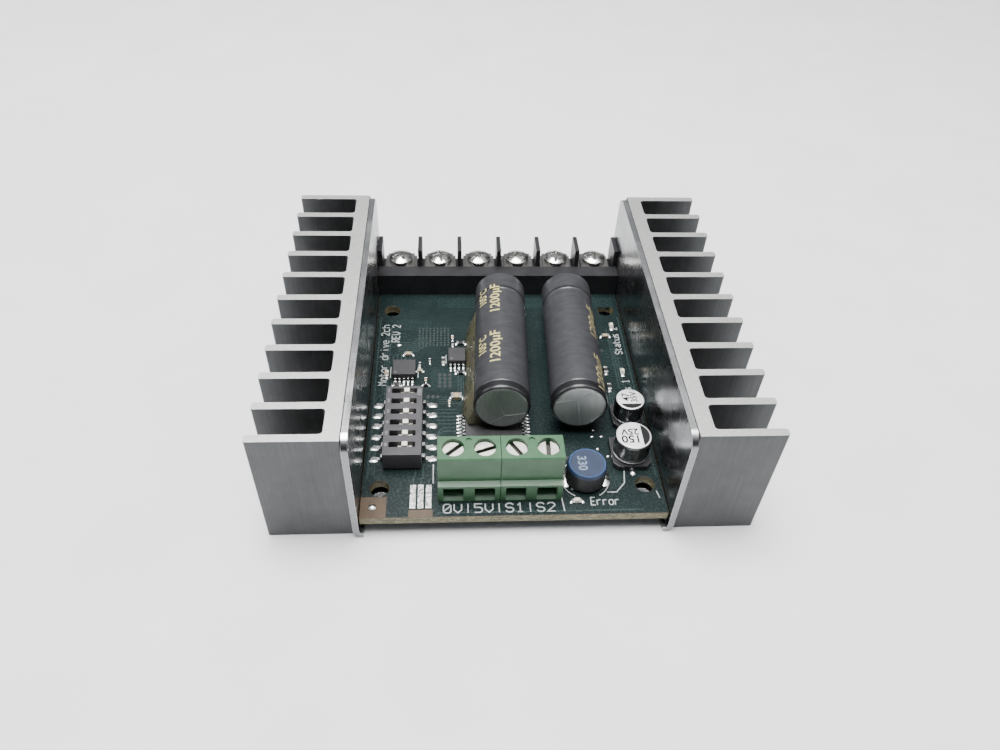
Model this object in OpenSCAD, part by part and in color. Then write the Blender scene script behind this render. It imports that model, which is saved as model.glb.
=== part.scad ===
// Dual-channel servo drive: a circuit board in a sheet-metal channel between two finned heat sinks.
// Millimetres. X runs across the heat sinks, Y from the signal terminals to the power terminals, Z up.
// The origin is the middle of the underside.

/* [Overall] */
// Width across the fin tips of both heat sinks
overall_w = 80; // [78:1:90]
// Depth of the board and the heat sinks
body_d = 66; // [64:1:70]
// Height of the heat sinks
sink_h = 22.8; // [22:0.2:26]

/* [Channel] */
// Clear width between the two flanges
channel_w = 50.5; // [50.4:0.1:50.8]
// Thickness of the channel's sheet
sheet_t = 1.0; // [0.8:0.1:1.2]
// How far the flanges reach past the heat sinks at the front and at the back
flange_lip = 0.8; // [0.2:0.1:1.5]
// Radius of the flanges' upper corners
flange_corner_r = 2.6; // [1:0.2:5]

/* [Heat sinks] */
// Number of fins on each side
fin_count = 11; // [7:1:13]
// Thickness of one fin
fin_t = 1.4; // [1:0.1:1.8]
// Thickness of the upright plate that carries the fins
sink_base_t = 2.5; // [2:0.1:3.5]
// Thickness of the adhesive between flange and heat sink
bond_t = 0.15; // [0.1:0.05:0.3]

/* [Circuit board] */
// Thickness of the board
board_t = 1.6; // [1.2:0.1:2]
// Gap between the channel floor and the board
board_gap = 1.5; // [1.4:0.1:2]
// Distance between the fixing holes across the board
fixing_x = 44.4; // [44:0.1:44.6]
// Distance between the front and the rear fixing holes
fixing_y = 46; // [45:1:47]
// Radius of the fixing holes, for M3 screws
fixing_r = 1.6; // [1.5:0.05:1.7]

/* [Power terminals] */
// Distance between neighbouring power terminals
barrier_pitch = 8.25; // [8.2:0.05:8.3]
// Height of the dividers above the board
divider_h = 8.9; // [8:0.1:10]

/* [Signal terminals] */
// Distance between neighbouring signal terminals
signal_pitch = 5.08; // [5:0.04:5.1]
// Height of the signal terminal blocks
signal_h = 9.5; // [9.5:0.1:11]
// How far a clamp cage rises
cage_lift = 1.8; // [1:0.1:1.8]

/* [Capacitors] */
// Outer radius of a large capacitor's sleeve
sleeve_r = 4.95; // [4.8:0.05:5]
// Length of a large capacitor
cap_l = 33.5; // [30:0.5:34]
// Angle by which the front ends are raised
cap_pitch = 2.4; // [2:0.1:3]
// Angle by which the front ends lean to the left
cap_yaw = 2.4; // [0:0.1:3]

/* [Hidden] */
$fn = 64;
eps = 0.01;

// Heights
board_bottom = sheet_t + board_gap;
board_top = board_bottom + board_t;

// Channel and heat sinks across the width
channel_x = channel_w / 2;
flange_x = channel_x + sheet_t;
sink_x = flange_x + bond_t;
fin_x = sink_x + sink_base_t;
fin_pitch = (body_d - fin_t) / (fin_count - 1);
fin_corner_r = 0.4;
fin_root_r = 0.6;
bend_r = 1.6;
floor_setback = 3.2;
channel_d = body_d + 2 * flange_lip;

// Board outline and fixing holes, with the front edge at Y = 0 before place()
board_x = channel_x - 0.1;
fixing_front = 5.9;

// Power transistors and thermal pad under the board
transistor_w = 6.2;
transistor_d = 5.2;
transistor_x = [-15.6, -5.2, 5.2, 15.6];
transistor_y = [26, 40];
tab_t = 0.15;
pad_t = 0.3;
pad_gap = 0.03;

// Power terminals
barrier_ways = 6;
barrier_front = 57.4;
ledge_back = 60.65;
ledge_h = 4.97;
divider_t = 0.85;
barrier_floor = 3.2;
contact_t = 0.8;
barrier_screw_y = 63.3;
barrier_shank_r = 1.55;
barrier_head_r = 2.45;
clamp_t = 0.7;
fit_gap = 0.05;
pin_tail = 1.0;

// Signal terminals
signal_ways = 4;
signal_x = -2.41;
signal_front = 2.9;
signal_ledge = 3.9;
signal_ledge_h = 3.95;
entry_top = 3.45;
signal_back = 9.0;
signal_screw_y = 6.45;
recess_r = 1.8;
recess_floor = 7.55;
head_r = 1.7;
head_top = 8.8;
slot_width = 0.75;
slot_depth = 0.7;
shank_r = 1.25;
bar_z = 3.1;
bar_t = 0.6;
cage_z = 0.6;
cage_floor = 0.6;
cage_window = 2.6;
cage_top = 1.4;
cage_w = 3.9;
cage_d = 3.1;
leg_y = 8.15;
leg_t = 0.5;

// DIP switch
dip_ways = 6;
dip_pitch = 2.54;
dip_x = -18.6;
dip_y = 18.5;
dip_w = 6.5;
dip_d = 16.2;
dip_shift = 0.6;
dip_z = 0.3;
dip_top = 3.9;
slot_w = 4.4;
slot_d = 1.15;
chamber_d = 1.7;
chamber_z = 1.6;
chamber_top = 2.9;
slider_rest = 0.45;
lead_out = 5.25;
lead_z = 0.85;

// Large capacitors: centre of the sealed rear end
cap_rear = [[-0.2, 51.0], [13.25, 51.0]];
cap_rear_z = 5.25;
sleeve_t = 0.13;
can_r = sleeve_r - sleeve_t - 0.02;
can_wall = 0.3;
groove_at = 4.6;
groove_half = 0.7;
groove_in = 0.4;
seal_l = 5.8;
// Where the three vent scores meet on each front end, and the angle and length of each score
vent_junctions = [[0.58, -1.86], [-0.54, 1.92]];
vent_scores = [[[12.5, 3.4], [114, 5.8], [215, 2.8]], [[31, 2.6], [194, 3.5], [280, 5.8]]];
lead_r = 0.3;
lead_gap = 2.5;
lead_reach = 2.2;
stub_r = 0.26;

// Small parts on the board
inductor_at = [12.15, 7.3];
inductor_r = 3.35;
inductor_h = 3.65;
cover_h = 0.5;
small_cans = [[20.6, 12.2, 3.15, 5.4], [21.5, 20.9, 2.65, 5.2]];
can_base_h = 1.1;
micro_at = [-2.8, 18.05];
micro_w = 10;
micro_h = 1.0;
micro_pins = 11;
pin_pitch = 0.8;
chips = [[-19.1, 33.6, 4.3, 4.0, 5], [-9.1, 37.1, 3.3, 3.7, 4]];
chip_h = 1.35;
// Chip resistors and capacitors: x, y, length, width, height, turned by 90 degrees or not
passives = [
    [-9.3, 26.6, 2.0, 1.25, 0.9, 0], [-10.6, 25.3, 1.0, 0.5, 0.45, 1], [-16.2, 35.5, 1.0, 0.5, 0.45, 1],
    [-16.2, 33.8, 1.0, 0.6, 0.45, 0], [-14.3, 36.6, 1.0, 0.5, 0.45, 1], [-15.0, 31.3, 1.0, 0.5, 0.45, 1],
    [-15.0, 29.9, 1.0, 0.5, 0.45, 0], [-22.4, 33.0, 1.6, 0.8, 0.5, 1], [-20.4, 30.0, 1.4, 1.0, 0.5, 0],
    [-18.5, 38.4, 1.6, 0.8, 0.6, 0], [-11.7, 36.6, 1.6, 0.7, 0.5, 1], [-9.9, 41.5, 1.0, 0.5, 0.45, 1],
    [-9.9, 43.3, 1.0, 0.5, 0.45, 1], [-8.4, 33.2, 1.6, 0.8, 0.5, 0], [-8.3, 41.6, 1.6, 0.8, 0.5, 0],
    [19.6, 29.0, 1.6, 0.8, 0.5, 1], [19.6, 33.6, 1.6, 0.8, 0.5, 1], [21.0, 43.6, 1.6, 0.8, 0.5, 0],
    [-6.4, 11.2, 1.0, 0.5, 0.45, 0]
];
// Indicator lamps: x, y, turned by 90 degrees or not
lamps = [[10.3, 2.6, 0], [22.8, 33.2, 1], [22.7, 46.8, 1]];

// Carries children from board coordinates (front edge at Y = 0, top face at Z = 0) to the part's own
module place(x = 0, y = 0, z = 0) {
    translate([x, y - body_d / 2, board_top + z]) children();
}

// A box by its middle in X and Y and its base in Z
module slab(w, d, h) {
    translate([-w / 2, -d / 2, 0]) cube([w, d, h]);
}

// Carries children to the four fixing screws, at the board's top face
module at_fixings() {
    for (x = [-fixing_x / 2, fixing_x / 2], y = [fixing_front, fixing_front + fixing_y])
        place(x, y) children();
}

// The frame of a large capacitor: the origin is its sealed end and its front lies along -Y
module at_cap(i) {
    place(cap_rear[i][0], cap_rear[i][1], cap_rear_z)
        rotate([0, 0, -cap_yaw]) rotate([-cap_pitch, 0, 0]) children();
}

// Where a capacitor lead has turned down to the board, with Z upright again
module at_lead(i, side) {
    at_cap(i) translate([side * lead_gap, lead_reach, 0]) rotate([cap_pitch, 0, 0]) children();
}

function barrier_x(i) = (i - (barrier_ways + 1) / 2) * barrier_pitch;
function terminal_x(i) = signal_x + (i - (signal_ways + 1) / 2) * signal_pitch;
function slider_y(i) = dip_y + ((dip_ways + 1) / 2 - i) * dip_pitch;

// Outline of a rectangle standing on Z = 0 with round lower corners
module round_bottom(w, h, r) {
    translate([-w / 2, r]) square([w, h - r]);
    translate([-w / 2 + r, 0]) square([w - 2 * r, r + eps]);
    for (s = [-1, 1]) translate([s * (w / 2 - r), r]) circle(r);
}

// Outline of a flange seen from the side, with round upper corners
module flange_side() {
    d = channel_d;
    r = flange_corner_r;
    translate([-d / 2, 0]) square([d, sink_h - r]);
    translate([-d / 2 + r, sink_h - r - eps]) square([d - 2 * r, r + eps]);
    for (s = [-1, 1]) translate([s * (d / 2 - r), sink_h - r]) circle(r);
}

module chassis_channel() {
    color("silver") difference() {
        intersection() {
            rotate([90, 0, 0]) linear_extrude(channel_d, center = true) difference() {
                round_bottom(2 * flange_x, sink_h, bend_r);
                translate([0, sheet_t]) round_bottom(channel_w, sink_h, bend_r - sheet_t);
            }
            rotate([90, 0, 90]) linear_extrude(overall_w, center = true) flange_side();
        }
        at_fixings() translate([0, 0, -2 * board_top]) cylinder(r = fixing_r, h = 3 * board_top);
        // The floor stops short of the flanges at both ends
        for (s = [-1, 1]) translate([0, s * (channel_d - floor_setback + 1) / 2, -1])
            slab(channel_w - 2 * (bend_r - sheet_t) - 0.1, floor_setback + 1, 1 + sheet_t + 1);
    }
}

module thermal_adhesive() {
    color("dimgray") for (s = [-1, 1])
        translate([s * (flange_x + bond_t / 2), 0, bend_r])
            slab(bond_t, body_d - 0.4, sink_h - bend_r - 0.2);
}

// One fin as an outline, from the upright plate outwards along +X
module fin_outline(reach) {
    r = fin_corner_r;
    square([reach - r, fin_t]);
    translate([0, r]) square([reach, fin_t - 2 * r]);
    for (y = [r, fin_t - r]) translate([reach - r, y]) circle(r, $fn = 32);
}

// The hollow fillet beside a fin's root
module root_fillet(up) {
    scale([1, up]) difference() {
        square(fin_root_r);
        translate([fin_root_r, fin_root_r]) circle(fin_root_r, $fn = 32);
    }
}

// The right-hand extrusion
module sink_body() {
    reach = overall_w / 2 - fin_x;
    linear_extrude(sink_h) {
        translate([sink_x, -body_d / 2]) square([sink_base_t, body_d]);
        for (i = [0:fin_count - 1]) translate([fin_x - eps, -body_d / 2 + i * fin_pitch]) {
            fin_outline(reach + eps);
            if (i < fin_count - 1) translate([0, fin_t]) root_fillet(1);
            if (i > 0) root_fillet(-1);
        }
    }
}

module heat_sink_right() {
    color("gainsboro") sink_body();
}

module heat_sink_left() {
    color("gainsboro") mirror([1, 0, 0]) sink_body();
}

module circuit_board() {
    color("darkgreen") difference() {
        place(0, body_d / 2, -board_t) slab(2 * board_x, body_d, board_t);
        at_fixings() translate([0, 0, -3]) cylinder(r = fixing_r, h = 6);
        for (i = [1:barrier_ways]) place(barrier_x(i), ledge_back + 0.55, -3) cylinder(r = 0.85, h = 6);
        for (i = [1:signal_ways]) place(terminal_x(i), leg_y + leg_t / 2, -3) cylinder(r = 0.65, h = 6);
        for (i = [0, 1], s = [-1, 1]) at_lead(i, s) translate([0, 0, -12]) cylinder(r = 0.45, h = 12);
    }
}

module power_transistors() {
    color("#2b2b2b") for (x = transistor_x, y = transistor_y)
        place(x, y, -board_t - board_gap + pad_t + pad_gap)
            slab(transistor_w, transistor_d, board_gap - pad_t - 2 * pad_gap - tab_t);
}

module transistor_tabs() {
    color("lightgray") for (x = transistor_x, y = transistor_y) place(x, y, -board_t - tab_t) {
        translate([0, -0.9, 0]) slab(transistor_w - 1, 2.6, tab_t);
        for (k = [-1.5:1:1.5]) translate([k * 1.27, transistor_d / 2 - 0.3, 0]) slab(0.5, 1.4, tab_t);
    }
}

module thermal_pad() {
    color("lightsteelblue") place(0, (transistor_y[0] + transistor_y[1]) / 2, -board_t - board_gap)
        slab(40, 22, pad_t);
}

// Moulded strip with a ledge at the front, a floor under the contacts and a divider at each side of a way
module barrier_housing() {
    depth = body_d - barrier_front;
    width = barrier_ways * barrier_pitch + divider_t;
    color("#1c1c1e") difference() {
        union() {
            place(0, barrier_front + depth / 2) slab(width, depth, barrier_floor);
            place(0, (barrier_front + ledge_back) / 2) slab(width, ledge_back - barrier_front, ledge_h);
            for (i = [0:barrier_ways])
                place((i - barrier_ways / 2) * barrier_pitch, (ledge_back + body_d - eps) / 2)
                    slab(divider_t, body_d - ledge_back + eps, divider_h);
        }
        for (i = [1:barrier_ways]) {
            place(barrier_x(i), barrier_screw_y, 0.3) cylinder(r = barrier_shank_r + 0.35, h = 4);
            place(barrier_x(i), ledge_back + 0.55, -1) slab(1.2, 1.0, 6);
        }
    }
}

// Contact plates with a tapped hole and a pin through the board
module barrier_contacts() {
    color("khaki") for (i = [1:barrier_ways]) {
        difference() {
            place(barrier_x(i), (ledge_back + body_d) / 2 + 0.1, barrier_floor)
                slab(6.6, body_d - ledge_back - 0.4, contact_t);
            place(barrier_x(i), barrier_screw_y, 0) cylinder(r = barrier_shank_r + fit_gap, h = 8);
        }
        place(barrier_x(i), ledge_back + 0.55, -board_t - pin_tail)
            slab(1.0, 0.7, board_t + pin_tail + barrier_floor + eps);
    }
}

module barrier_clamp(i) {
    z = barrier_floor + contact_t + fit_gap;
    color("lightgray") difference() {
        place(barrier_x(i), barrier_screw_y, z) slab(5.6, 4.8, clamp_t);
        place(barrier_x(i), barrier_screw_y, z - 1) cylinder(r = barrier_shank_r + fit_gap, h = 3);
    }
}

// Pan-head screw with a cross and a slot in the head
module barrier_screw(i) {
    z = barrier_floor + contact_t + clamp_t + 2 * fit_gap;
    turn = 25 * i * i;
    color("silver") place(barrier_x(i), barrier_screw_y, z) rotate([0, 0, turn]) difference() {
        union() {
            cylinder(r = barrier_head_r, h = 0.75);
            intersection() {
                translate([0, 0, -3.05]) sphere(4.5);
                cylinder(r = barrier_head_r, h = 3);
            }
            translate([0, 0, 0.5 - z]) cylinder(r = barrier_shank_r, h = z);
        }
        translate([0, 0, 0.75]) slab(3.2, 0.65, 2);
        translate([0, 0, 0.75]) slab(0.65, 3.2, 2);
        translate([0, 0, 1.0]) slab(6, 0.55, 2);
    }
}

// Outline of a signal terminal block seen from the side, Y along and Z up
module block_side() {
    polygon([
        [signal_front, 0], [signal_front, signal_ledge_h], [signal_ledge, signal_ledge_h + 0.25],
        [signal_ledge, signal_h - 0.2], [signal_ledge + 0.2, signal_h], [signal_back - 0.2, signal_h],
        [signal_back, signal_h - 0.2], [signal_back, 0]
    ]);
}

// A two-way block around the terminals first and first + 1
module terminal_block(first) {
    width = 2 * signal_pitch - 0.1;
    middle = (terminal_x(first) + terminal_x(first + 1)) / 2;
    cage_room = cage_z + cage_floor + cage_window + cage_top + cage_lift + 0.15;
    color("seagreen") difference() {
        place(middle) rotate([90, 0, 90]) linear_extrude(width, center = true) block_side();
        for (i = [first, first + 1]) place(terminal_x(i), 0, 0) {
            translate([0, signal_screw_y, recess_floor]) cylinder(r = recess_r, h = 4);
            translate([0, signal_screw_y, 4]) cylinder(r = shank_r + 0.1, h = 5);
            translate([0, signal_screw_y, cage_z - 0.1]) slab(cage_w + 0.2, cage_d + 0.2, cage_room - cage_z);
            translate([0, leg_y + leg_t / 2 - 0.1, -1]) slab(2.6, leg_t + 0.3, 1 + bar_z + bar_t + 0.1);
            // Wire entry with a sloped lower lip
            translate([-1.65, 0, 0]) rotate([90, 0, 90]) linear_extrude(3.3) polygon([
                [signal_front - 1, 0.35], [signal_front, 0.35], [signal_front + 1.1, 1.1],
                [signal_screw_y, 1.1], [signal_screw_y, entry_top], [signal_front - 1, entry_top]
            ]);
        }
        // Ejector-pin dimple in the top
        place(middle, signal_screw_y + 1.5, signal_h - 0.3) cylinder(r = 0.5, h = 1, $fn = 24);
    }
}

module terminal_block_left() {
    terminal_block(1);
}

module terminal_block_right() {
    terminal_block(3);
}

// Contact bars that the cages press the wires against, with pins through the board
module terminal_contacts() {
    front = signal_screw_y - cage_d / 2 - 0.05;
    color("silver") for (i = [1:signal_ways]) {
        place(terminal_x(i), (front + leg_y + leg_t) / 2, bar_z) slab(2.4, leg_y + leg_t - front, bar_t);
        place(terminal_x(i), leg_y + leg_t / 2, 0.15) slab(2.4, leg_t, bar_z - 0.1);
        place(terminal_x(i), leg_y + leg_t / 2, -board_t - pin_tail)
            slab(0.9, leg_t, board_t + pin_tail + 0.2);
    }
}

// Square cage around the contact bar, tapped in its top wall
module terminal_cage(i) {
    h = cage_floor + cage_window + cage_top;
    color("gold") place(terminal_x(i), signal_screw_y, cage_z) difference() {
        slab(cage_w, cage_d, h);
        translate([0, 0, cage_floor]) slab(cage_w - 1.1, cage_d + 1, cage_window);
        translate([0, 0, cage_floor + 1]) cylinder(r = shank_r + fit_gap, h = h);
    }
}

// Slotted cheese-head screw that turns in place above the contact bar
module terminal_screw(i) {
    turns = [42, 20, -58, 88];
    tip = bar_z + bar_t + fit_gap;
    color("lightgray") place(terminal_x(i), signal_screw_y) rotate([0, 0, turns[i - 1]]) difference() {
        union() {
            translate([0, 0, recess_floor + fit_gap])
                cylinder(r = head_r, h = head_top - recess_floor - fit_gap);
            translate([0, 0, tip]) cylinder(r = shank_r, h = head_top - tip - 0.5);
        }
        translate([0, 0, head_top - slot_depth]) slab(4, slot_width, 1);
    }
}

module dip_switch_body() {
    color("#3a3a3f") difference() {
        place(dip_x, dip_y - dip_shift, dip_z) slab(dip_w, dip_d, dip_top - dip_z);
        for (i = [1:dip_ways]) {
            place(dip_x, slider_y(i), chamber_z + 0.2) slab(slot_w, slot_d, dip_top);
            place(dip_x, slider_y(i), chamber_z) slab(slot_w, chamber_d, chamber_top - chamber_z);
        }
    }
}

// Twelve gull-wing leads
module dip_switch_leads() {
    t = 0.2;
    edge = dip_w / 2 + 0.01;
    color("silver") for (i = [1:dip_ways], s = [0, 1]) place(dip_x, slider_y(i), 0)
        mirror([s, 0, 0]) translate([0, 0.35, 0]) rotate([90, 0, 0]) linear_extrude(0.7) polygon([
            [edge, lead_z], [edge + 0.3, lead_z], [edge + 0.5, 0.02], [lead_out, 0.02], [lead_out, 0.02 + t],
            [edge + 0.5 + t, 0.02 + t], [edge + 0.3 + t, lead_z + t], [edge, lead_z + t]
        ]);
}

// Slider: a foot held under the cover and a nub that stands out of the slot
module dip_slider(i) {
    color("ivory") place(dip_x + slider_rest, slider_y(i), 0) {
        translate([0, 0, chamber_z + 0.05]) slab(2.4, chamber_d - 0.16, chamber_top - chamber_z - 0.15);
        translate([0, 0, chamber_top - 0.4]) slab(0.95, 0.95, dip_top + 0.25 - chamber_top + 0.4);
    }
}

// Half outline of the can, radius along X and distance from the front along Y
module can_outline(r, inset) {
    c = 0.7;
    translate([0, inset]) square([r - c, cap_l - 2 * inset]);
    translate([0, inset + c]) square([r, cap_l - 2 * inset - c]);
    translate([r - c, inset + c]) circle(c, $fn = 32);
}

// Notch that the crimp rolls into the can near its sealed end
module crimp_notch(grow) {
    translate([can_r + groove_half - groove_in, cap_l - groove_at]) circle(groove_half + grow, $fn = 32);
}

// Turns a half outline around the capacitor's axis, front end towards -Y
module spin_cap(i) {
    at_cap(i) translate([0, -cap_l, 0]) rotate([-90, 0, 0]) rotate_extrude() children();
}

// Open-ended aluminium can with vent scores on its front end
module capacitor_can(i) {
    color("lightslategray") difference() {
        spin_cap(i) difference() {
            intersection() {
                can_outline(can_r, 0);
                square([can_r, cap_l]);
            }
            difference() {
                translate([-1, can_wall]) square([can_r - can_wall + 1, cap_l]);
                crimp_notch(can_wall);
            }
            crimp_notch(0);
        }
        at_cap(i) translate([vent_junctions[i][0], -cap_l, vent_junctions[i][1]])
            for (score = vent_scores[i]) rotate([0, -score[0], 0])
                translate([0, -0.18, -0.06]) cube([score[1], 0.3, 0.12]);
    }
}

module capacitor_can_left() {
    capacitor_can(0);
}

module capacitor_can_right() {
    capacitor_can(1);
}

// Shrunk sleeve, drawn over the front corner and over the rear end, and into the crimp
module capacitor_sleeve(i) {
    color("#35353a") spin_cap(i) difference() {
        union() {
            intersection() {
                difference() {
                    translate([can_r - 0.7, 0.7]) circle(0.7 + sleeve_t + 0.02, $fn = 32);
                    translate([can_r - 0.7, 0.7]) circle(0.7 + 0.02, $fn = 32);
                }
                translate([can_r - 0.2, -1]) square([2, 1.7 + eps]);
            }
            translate([can_r + 0.02, 0.7]) square([sleeve_t, cap_l - 0.6]);
            intersection() {
                crimp_notch(-0.02);
                square([sleeve_r, cap_l]);
            }
            translate([can_r - 0.8, cap_l + 0.02]) square([0.82 + sleeve_t, sleeve_t]);
        }
        crimp_notch(-0.02 - sleeve_t);
    }
}

module capacitor_sleeve_left() {
    capacitor_sleeve(0);
}

module capacitor_sleeve_right() {
    capacitor_sleeve(1);
}

// Rubber bung in each can, drilled for its two leads
module capacitor_seals() {
    color("#202020") for (i = [0, 1]) difference() {
        spin_cap(i) difference() {
            translate([0, cap_l - seal_l]) square([can_r - can_wall - 0.02, seal_l - 0.1]);
            crimp_notch(can_wall + 0.02);
        }
        for (s = [-1, 1]) at_cap(i) translate([s * lead_gap, 0, 0]) rotate([90, 0, 0])
            cylinder(r = lead_r + 0.02, h = 2 * seal_l, center = true, $fn = 32);
    }
}

// Wires from the bung, turned down through the board
module capacitor_leads() {
    drop = cap_rear_z + board_t + 0.9;
    into = seal_l - 0.2;
    color("silver") for (i = [0, 1], s = [-1, 1]) {
        at_cap(i) translate([s * lead_gap, lead_reach, 0]) rotate([90, 0, 0])
            cylinder(r = stub_r, h = lead_reach + into, $fn = 32);
        at_lead(i, s) translate([0, 0, -drop]) cylinder(r = lead_r, h = drop + lead_r, $fn = 32);
    }
}

// Bead of glue along the left capacitor's left side
module glue_bead() {
    color("#6b6a45") difference() {
        at_cap(0) translate([0, -3.4, 0]) rotate([90, 0, 0]) linear_extrude(cap_l - 6) polygon([
            [-6.9, -8], [-6.75, -4.2], [-6.3, -2.6], [-5.7, -1.2], [-5.0, -0.4], [-4.2, -0.4], [-2.6, -8]
        ]);
        at_cap(0) rotate([90, 0, 0]) cylinder(r = sleeve_r + 0.03, h = 3 * cap_l, center = true);
        place(-20, 0, -15) cube([40, body_d, 15.03]);
        place(micro_at[0], micro_at[1], 0) slab(micro_w + 3.4, micro_w + 3.4, micro_h + 0.4);
        for (c = chips) place(c[0], c[1], 0) slab(c[2] + 0.3, c[3] + 3, chip_h + 0.4);
        for (p = passives) place(p[0], p[1], 0) rotate([0, 0, 90 * p[5]])
            slab(p[2] + 0.3, p[3] + 0.3, p[4] + 0.3);
    }
}

// Shielded power inductor
module inductor_core() {
    color("#18181b") place(inductor_at[0], inductor_at[1], 0) {
        translate([0, 0, 0.5]) cylinder(r = inductor_r, h = inductor_h - 0.5);
        for (s = [-1, 1]) translate([s * 1.9, 0, 0.05]) slab(1.9, 3.4, 0.5);
    }
}

module inductor_cover() {
    color("steelblue") place(inductor_at[0], inductor_at[1], inductor_h + 0.02)
        cylinder(r1 = inductor_r, r2 = inductor_r - 0.25, h = cover_h);
}

// Surface-mount electrolytic cans with a rolled neck above the base
module small_capacitor_cans() {
    color("gainsboro") for (c = small_cans) place(c[0], c[1], can_base_h + 0.02) {
        r = c[2];
        h = c[3] - can_base_h;
        rotate_extrude() difference() {
            union() {
                square([r - 0.4, h]);
                square([r, h - 0.4]);
                translate([r - 0.4, h - 0.4]) circle(0.4, $fn = 32);
            }
            translate([r + 0.25, 0.9]) circle(0.5, $fn = 32);
            translate([-2 * r, -r]) square([2 * r, 4 * r]);
        }
    }
}

module small_capacitor_bases() {
    color("#1b1b1d") for (c = small_cans) place(c[0], c[1], 0.05) {
        s = c[2] + 0.15;
        k = 0.9;
        linear_extrude(can_base_h - 0.05) polygon([
            [-s, -s + k], [-s + k, -s], [s - k, -s], [s, -s + k], [s, s], [-s, s]
        ]);
    }
}

module microcontroller() {
    color("#26262b") place(micro_at[0], micro_at[1], 0.1) slab(micro_w, micro_w, micro_h);
}

module driver_chips() {
    color("#26262b") for (c = chips) place(c[0], c[1], 0.12) slab(c[2], c[3], chip_h);
}

// One gull-wing chip lead that leaves a body's side along +Y
module chip_lead(w, z) {
    translate([w / 2, 0, 0]) rotate([90, 0, -90]) linear_extrude(w) polygon([
        [-0.01, z], [-0.35, z], [-0.5, 0.02], [-1.15, 0.02], [-1.15, 0.17], [-0.62, 0.17],
        [-0.47, z + 0.15], [-0.01, z + 0.15]
    ]);
}

module chip_leads() {
    color("silver") {
        for (a = [0:90:270], k = [0:micro_pins - 1]) place(micro_at[0], micro_at[1]) rotate([0, 0, a])
            translate([(k - (micro_pins - 1) / 2) * pin_pitch, micro_w / 2, 0]) chip_lead(0.36, 0.5);
        for (c = chips, a = [0, 180], k = [0:c[4] - 1]) place(c[0], c[1]) rotate([0, 0, a])
            translate([(k - (c[4] - 1) / 2) * pin_pitch, c[3] / 2, 0]) chip_lead(0.36, 0.6);
    }
}

module chip_passives() {
    color("tan") for (p = passives) place(p[0], p[1], 0.03) rotate([0, 0, 90 * p[5]]) slab(p[2], p[3], p[4]);
}

module indicator_lamps() {
    color("whitesmoke") for (l = lamps) place(l[0], l[1], 0.03) rotate([0, 0, 90 * l[2]]) {
        slab(1.6, 0.8, 0.3);
        slab(1.0, 0.8, 0.65);
    }
}

chassis_channel();
thermal_adhesive();
heat_sink_left();
heat_sink_right();
circuit_board();
power_transistors();
transistor_tabs();
thermal_pad();
barrier_housing();
barrier_contacts();
for (i = [1:6]) barrier_clamp(i);
for (i = [1:6]) barrier_screw(i);
terminal_block_left();
terminal_block_right();
terminal_contacts();
for (i = [1:4]) terminal_cage(i);
for (i = [1:4]) terminal_screw(i);
dip_switch_body();
dip_switch_leads();
for (i = [1:6]) dip_slider(i);
capacitor_can_left();
capacitor_can_right();
capacitor_sleeve_left();
capacitor_sleeve_right();
capacitor_seals();
capacitor_leads();
glue_bead();
inductor_core();
inductor_cover();
small_capacitor_cans();
small_capacitor_bases();
microcontroller();
driver_chips();
chip_leads();
chip_passives();
indicator_lamps();
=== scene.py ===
"""Looks of the servo drive: materials for the CAD nodes and fine pieces on the circuit board."""
import math
import random

import bmesh
import bpy
from mathutils import Euler, Matrix, Vector


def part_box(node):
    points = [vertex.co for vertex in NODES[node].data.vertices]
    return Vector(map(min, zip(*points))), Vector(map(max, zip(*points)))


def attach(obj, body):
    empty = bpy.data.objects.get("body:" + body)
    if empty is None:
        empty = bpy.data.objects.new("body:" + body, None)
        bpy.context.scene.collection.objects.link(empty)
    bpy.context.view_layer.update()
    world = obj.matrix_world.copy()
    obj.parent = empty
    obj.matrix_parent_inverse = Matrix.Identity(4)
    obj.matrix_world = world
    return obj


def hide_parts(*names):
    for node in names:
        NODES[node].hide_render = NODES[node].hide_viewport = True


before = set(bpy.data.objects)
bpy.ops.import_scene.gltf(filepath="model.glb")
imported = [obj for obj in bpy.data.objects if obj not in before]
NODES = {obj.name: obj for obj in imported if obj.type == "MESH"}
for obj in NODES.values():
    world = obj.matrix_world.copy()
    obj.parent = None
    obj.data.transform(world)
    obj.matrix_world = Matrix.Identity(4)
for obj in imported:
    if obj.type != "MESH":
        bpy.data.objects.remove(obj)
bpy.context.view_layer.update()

MM = 0.001
ROOT = "drive"
BOARD_LOW, BOARD_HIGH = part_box("circuit_board")
BOARD_HALF = (BOARD_HIGH[0] - BOARD_LOW[0]) / MM / 2
BOARD_T = (BOARD_HIGH[2] - BOARD_LOW[2]) / MM


def on_board(x, y, z=0.0):
    """A point in metres from board millimetres: X from the middle, Y from the front, Z from the top."""
    return Vector((x * MM, BOARD_LOW[1] + y * MM, BOARD_HIGH[2] + z * MM))


def board_box(node):
    """A CAD node's box in board millimetres, as (low, high)."""
    base = on_board(0, 0, 0)
    return [[(corner[k] - base[k]) / MM for k in range(3)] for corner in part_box(node)]


def middle(node):
    low, high = board_box(node)
    return [(a + b) / 2 for a, b in zip(low, high)]


# ---------------------------------------------------------------- materials

def new_material(name):
    mat = bpy.data.materials.new(name)
    mat.use_nodes = True
    return mat, mat.node_tree, mat.node_tree.nodes["Principled BSDF"]


def vector_math(tree, operation, vector, constant=(0, 0, 0), output=0):
    node = tree.nodes.new("ShaderNodeVectorMath")
    node.operation = operation
    node.inputs[1].default_value = constant
    tree.links.new(vector, node.inputs[0])
    return node.outputs[output]


def part_of(tree, vector, axis):
    split = tree.nodes.new("ShaderNodeSeparateXYZ")
    tree.links.new(vector, split.inputs[0])
    return split.outputs[axis]


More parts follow.
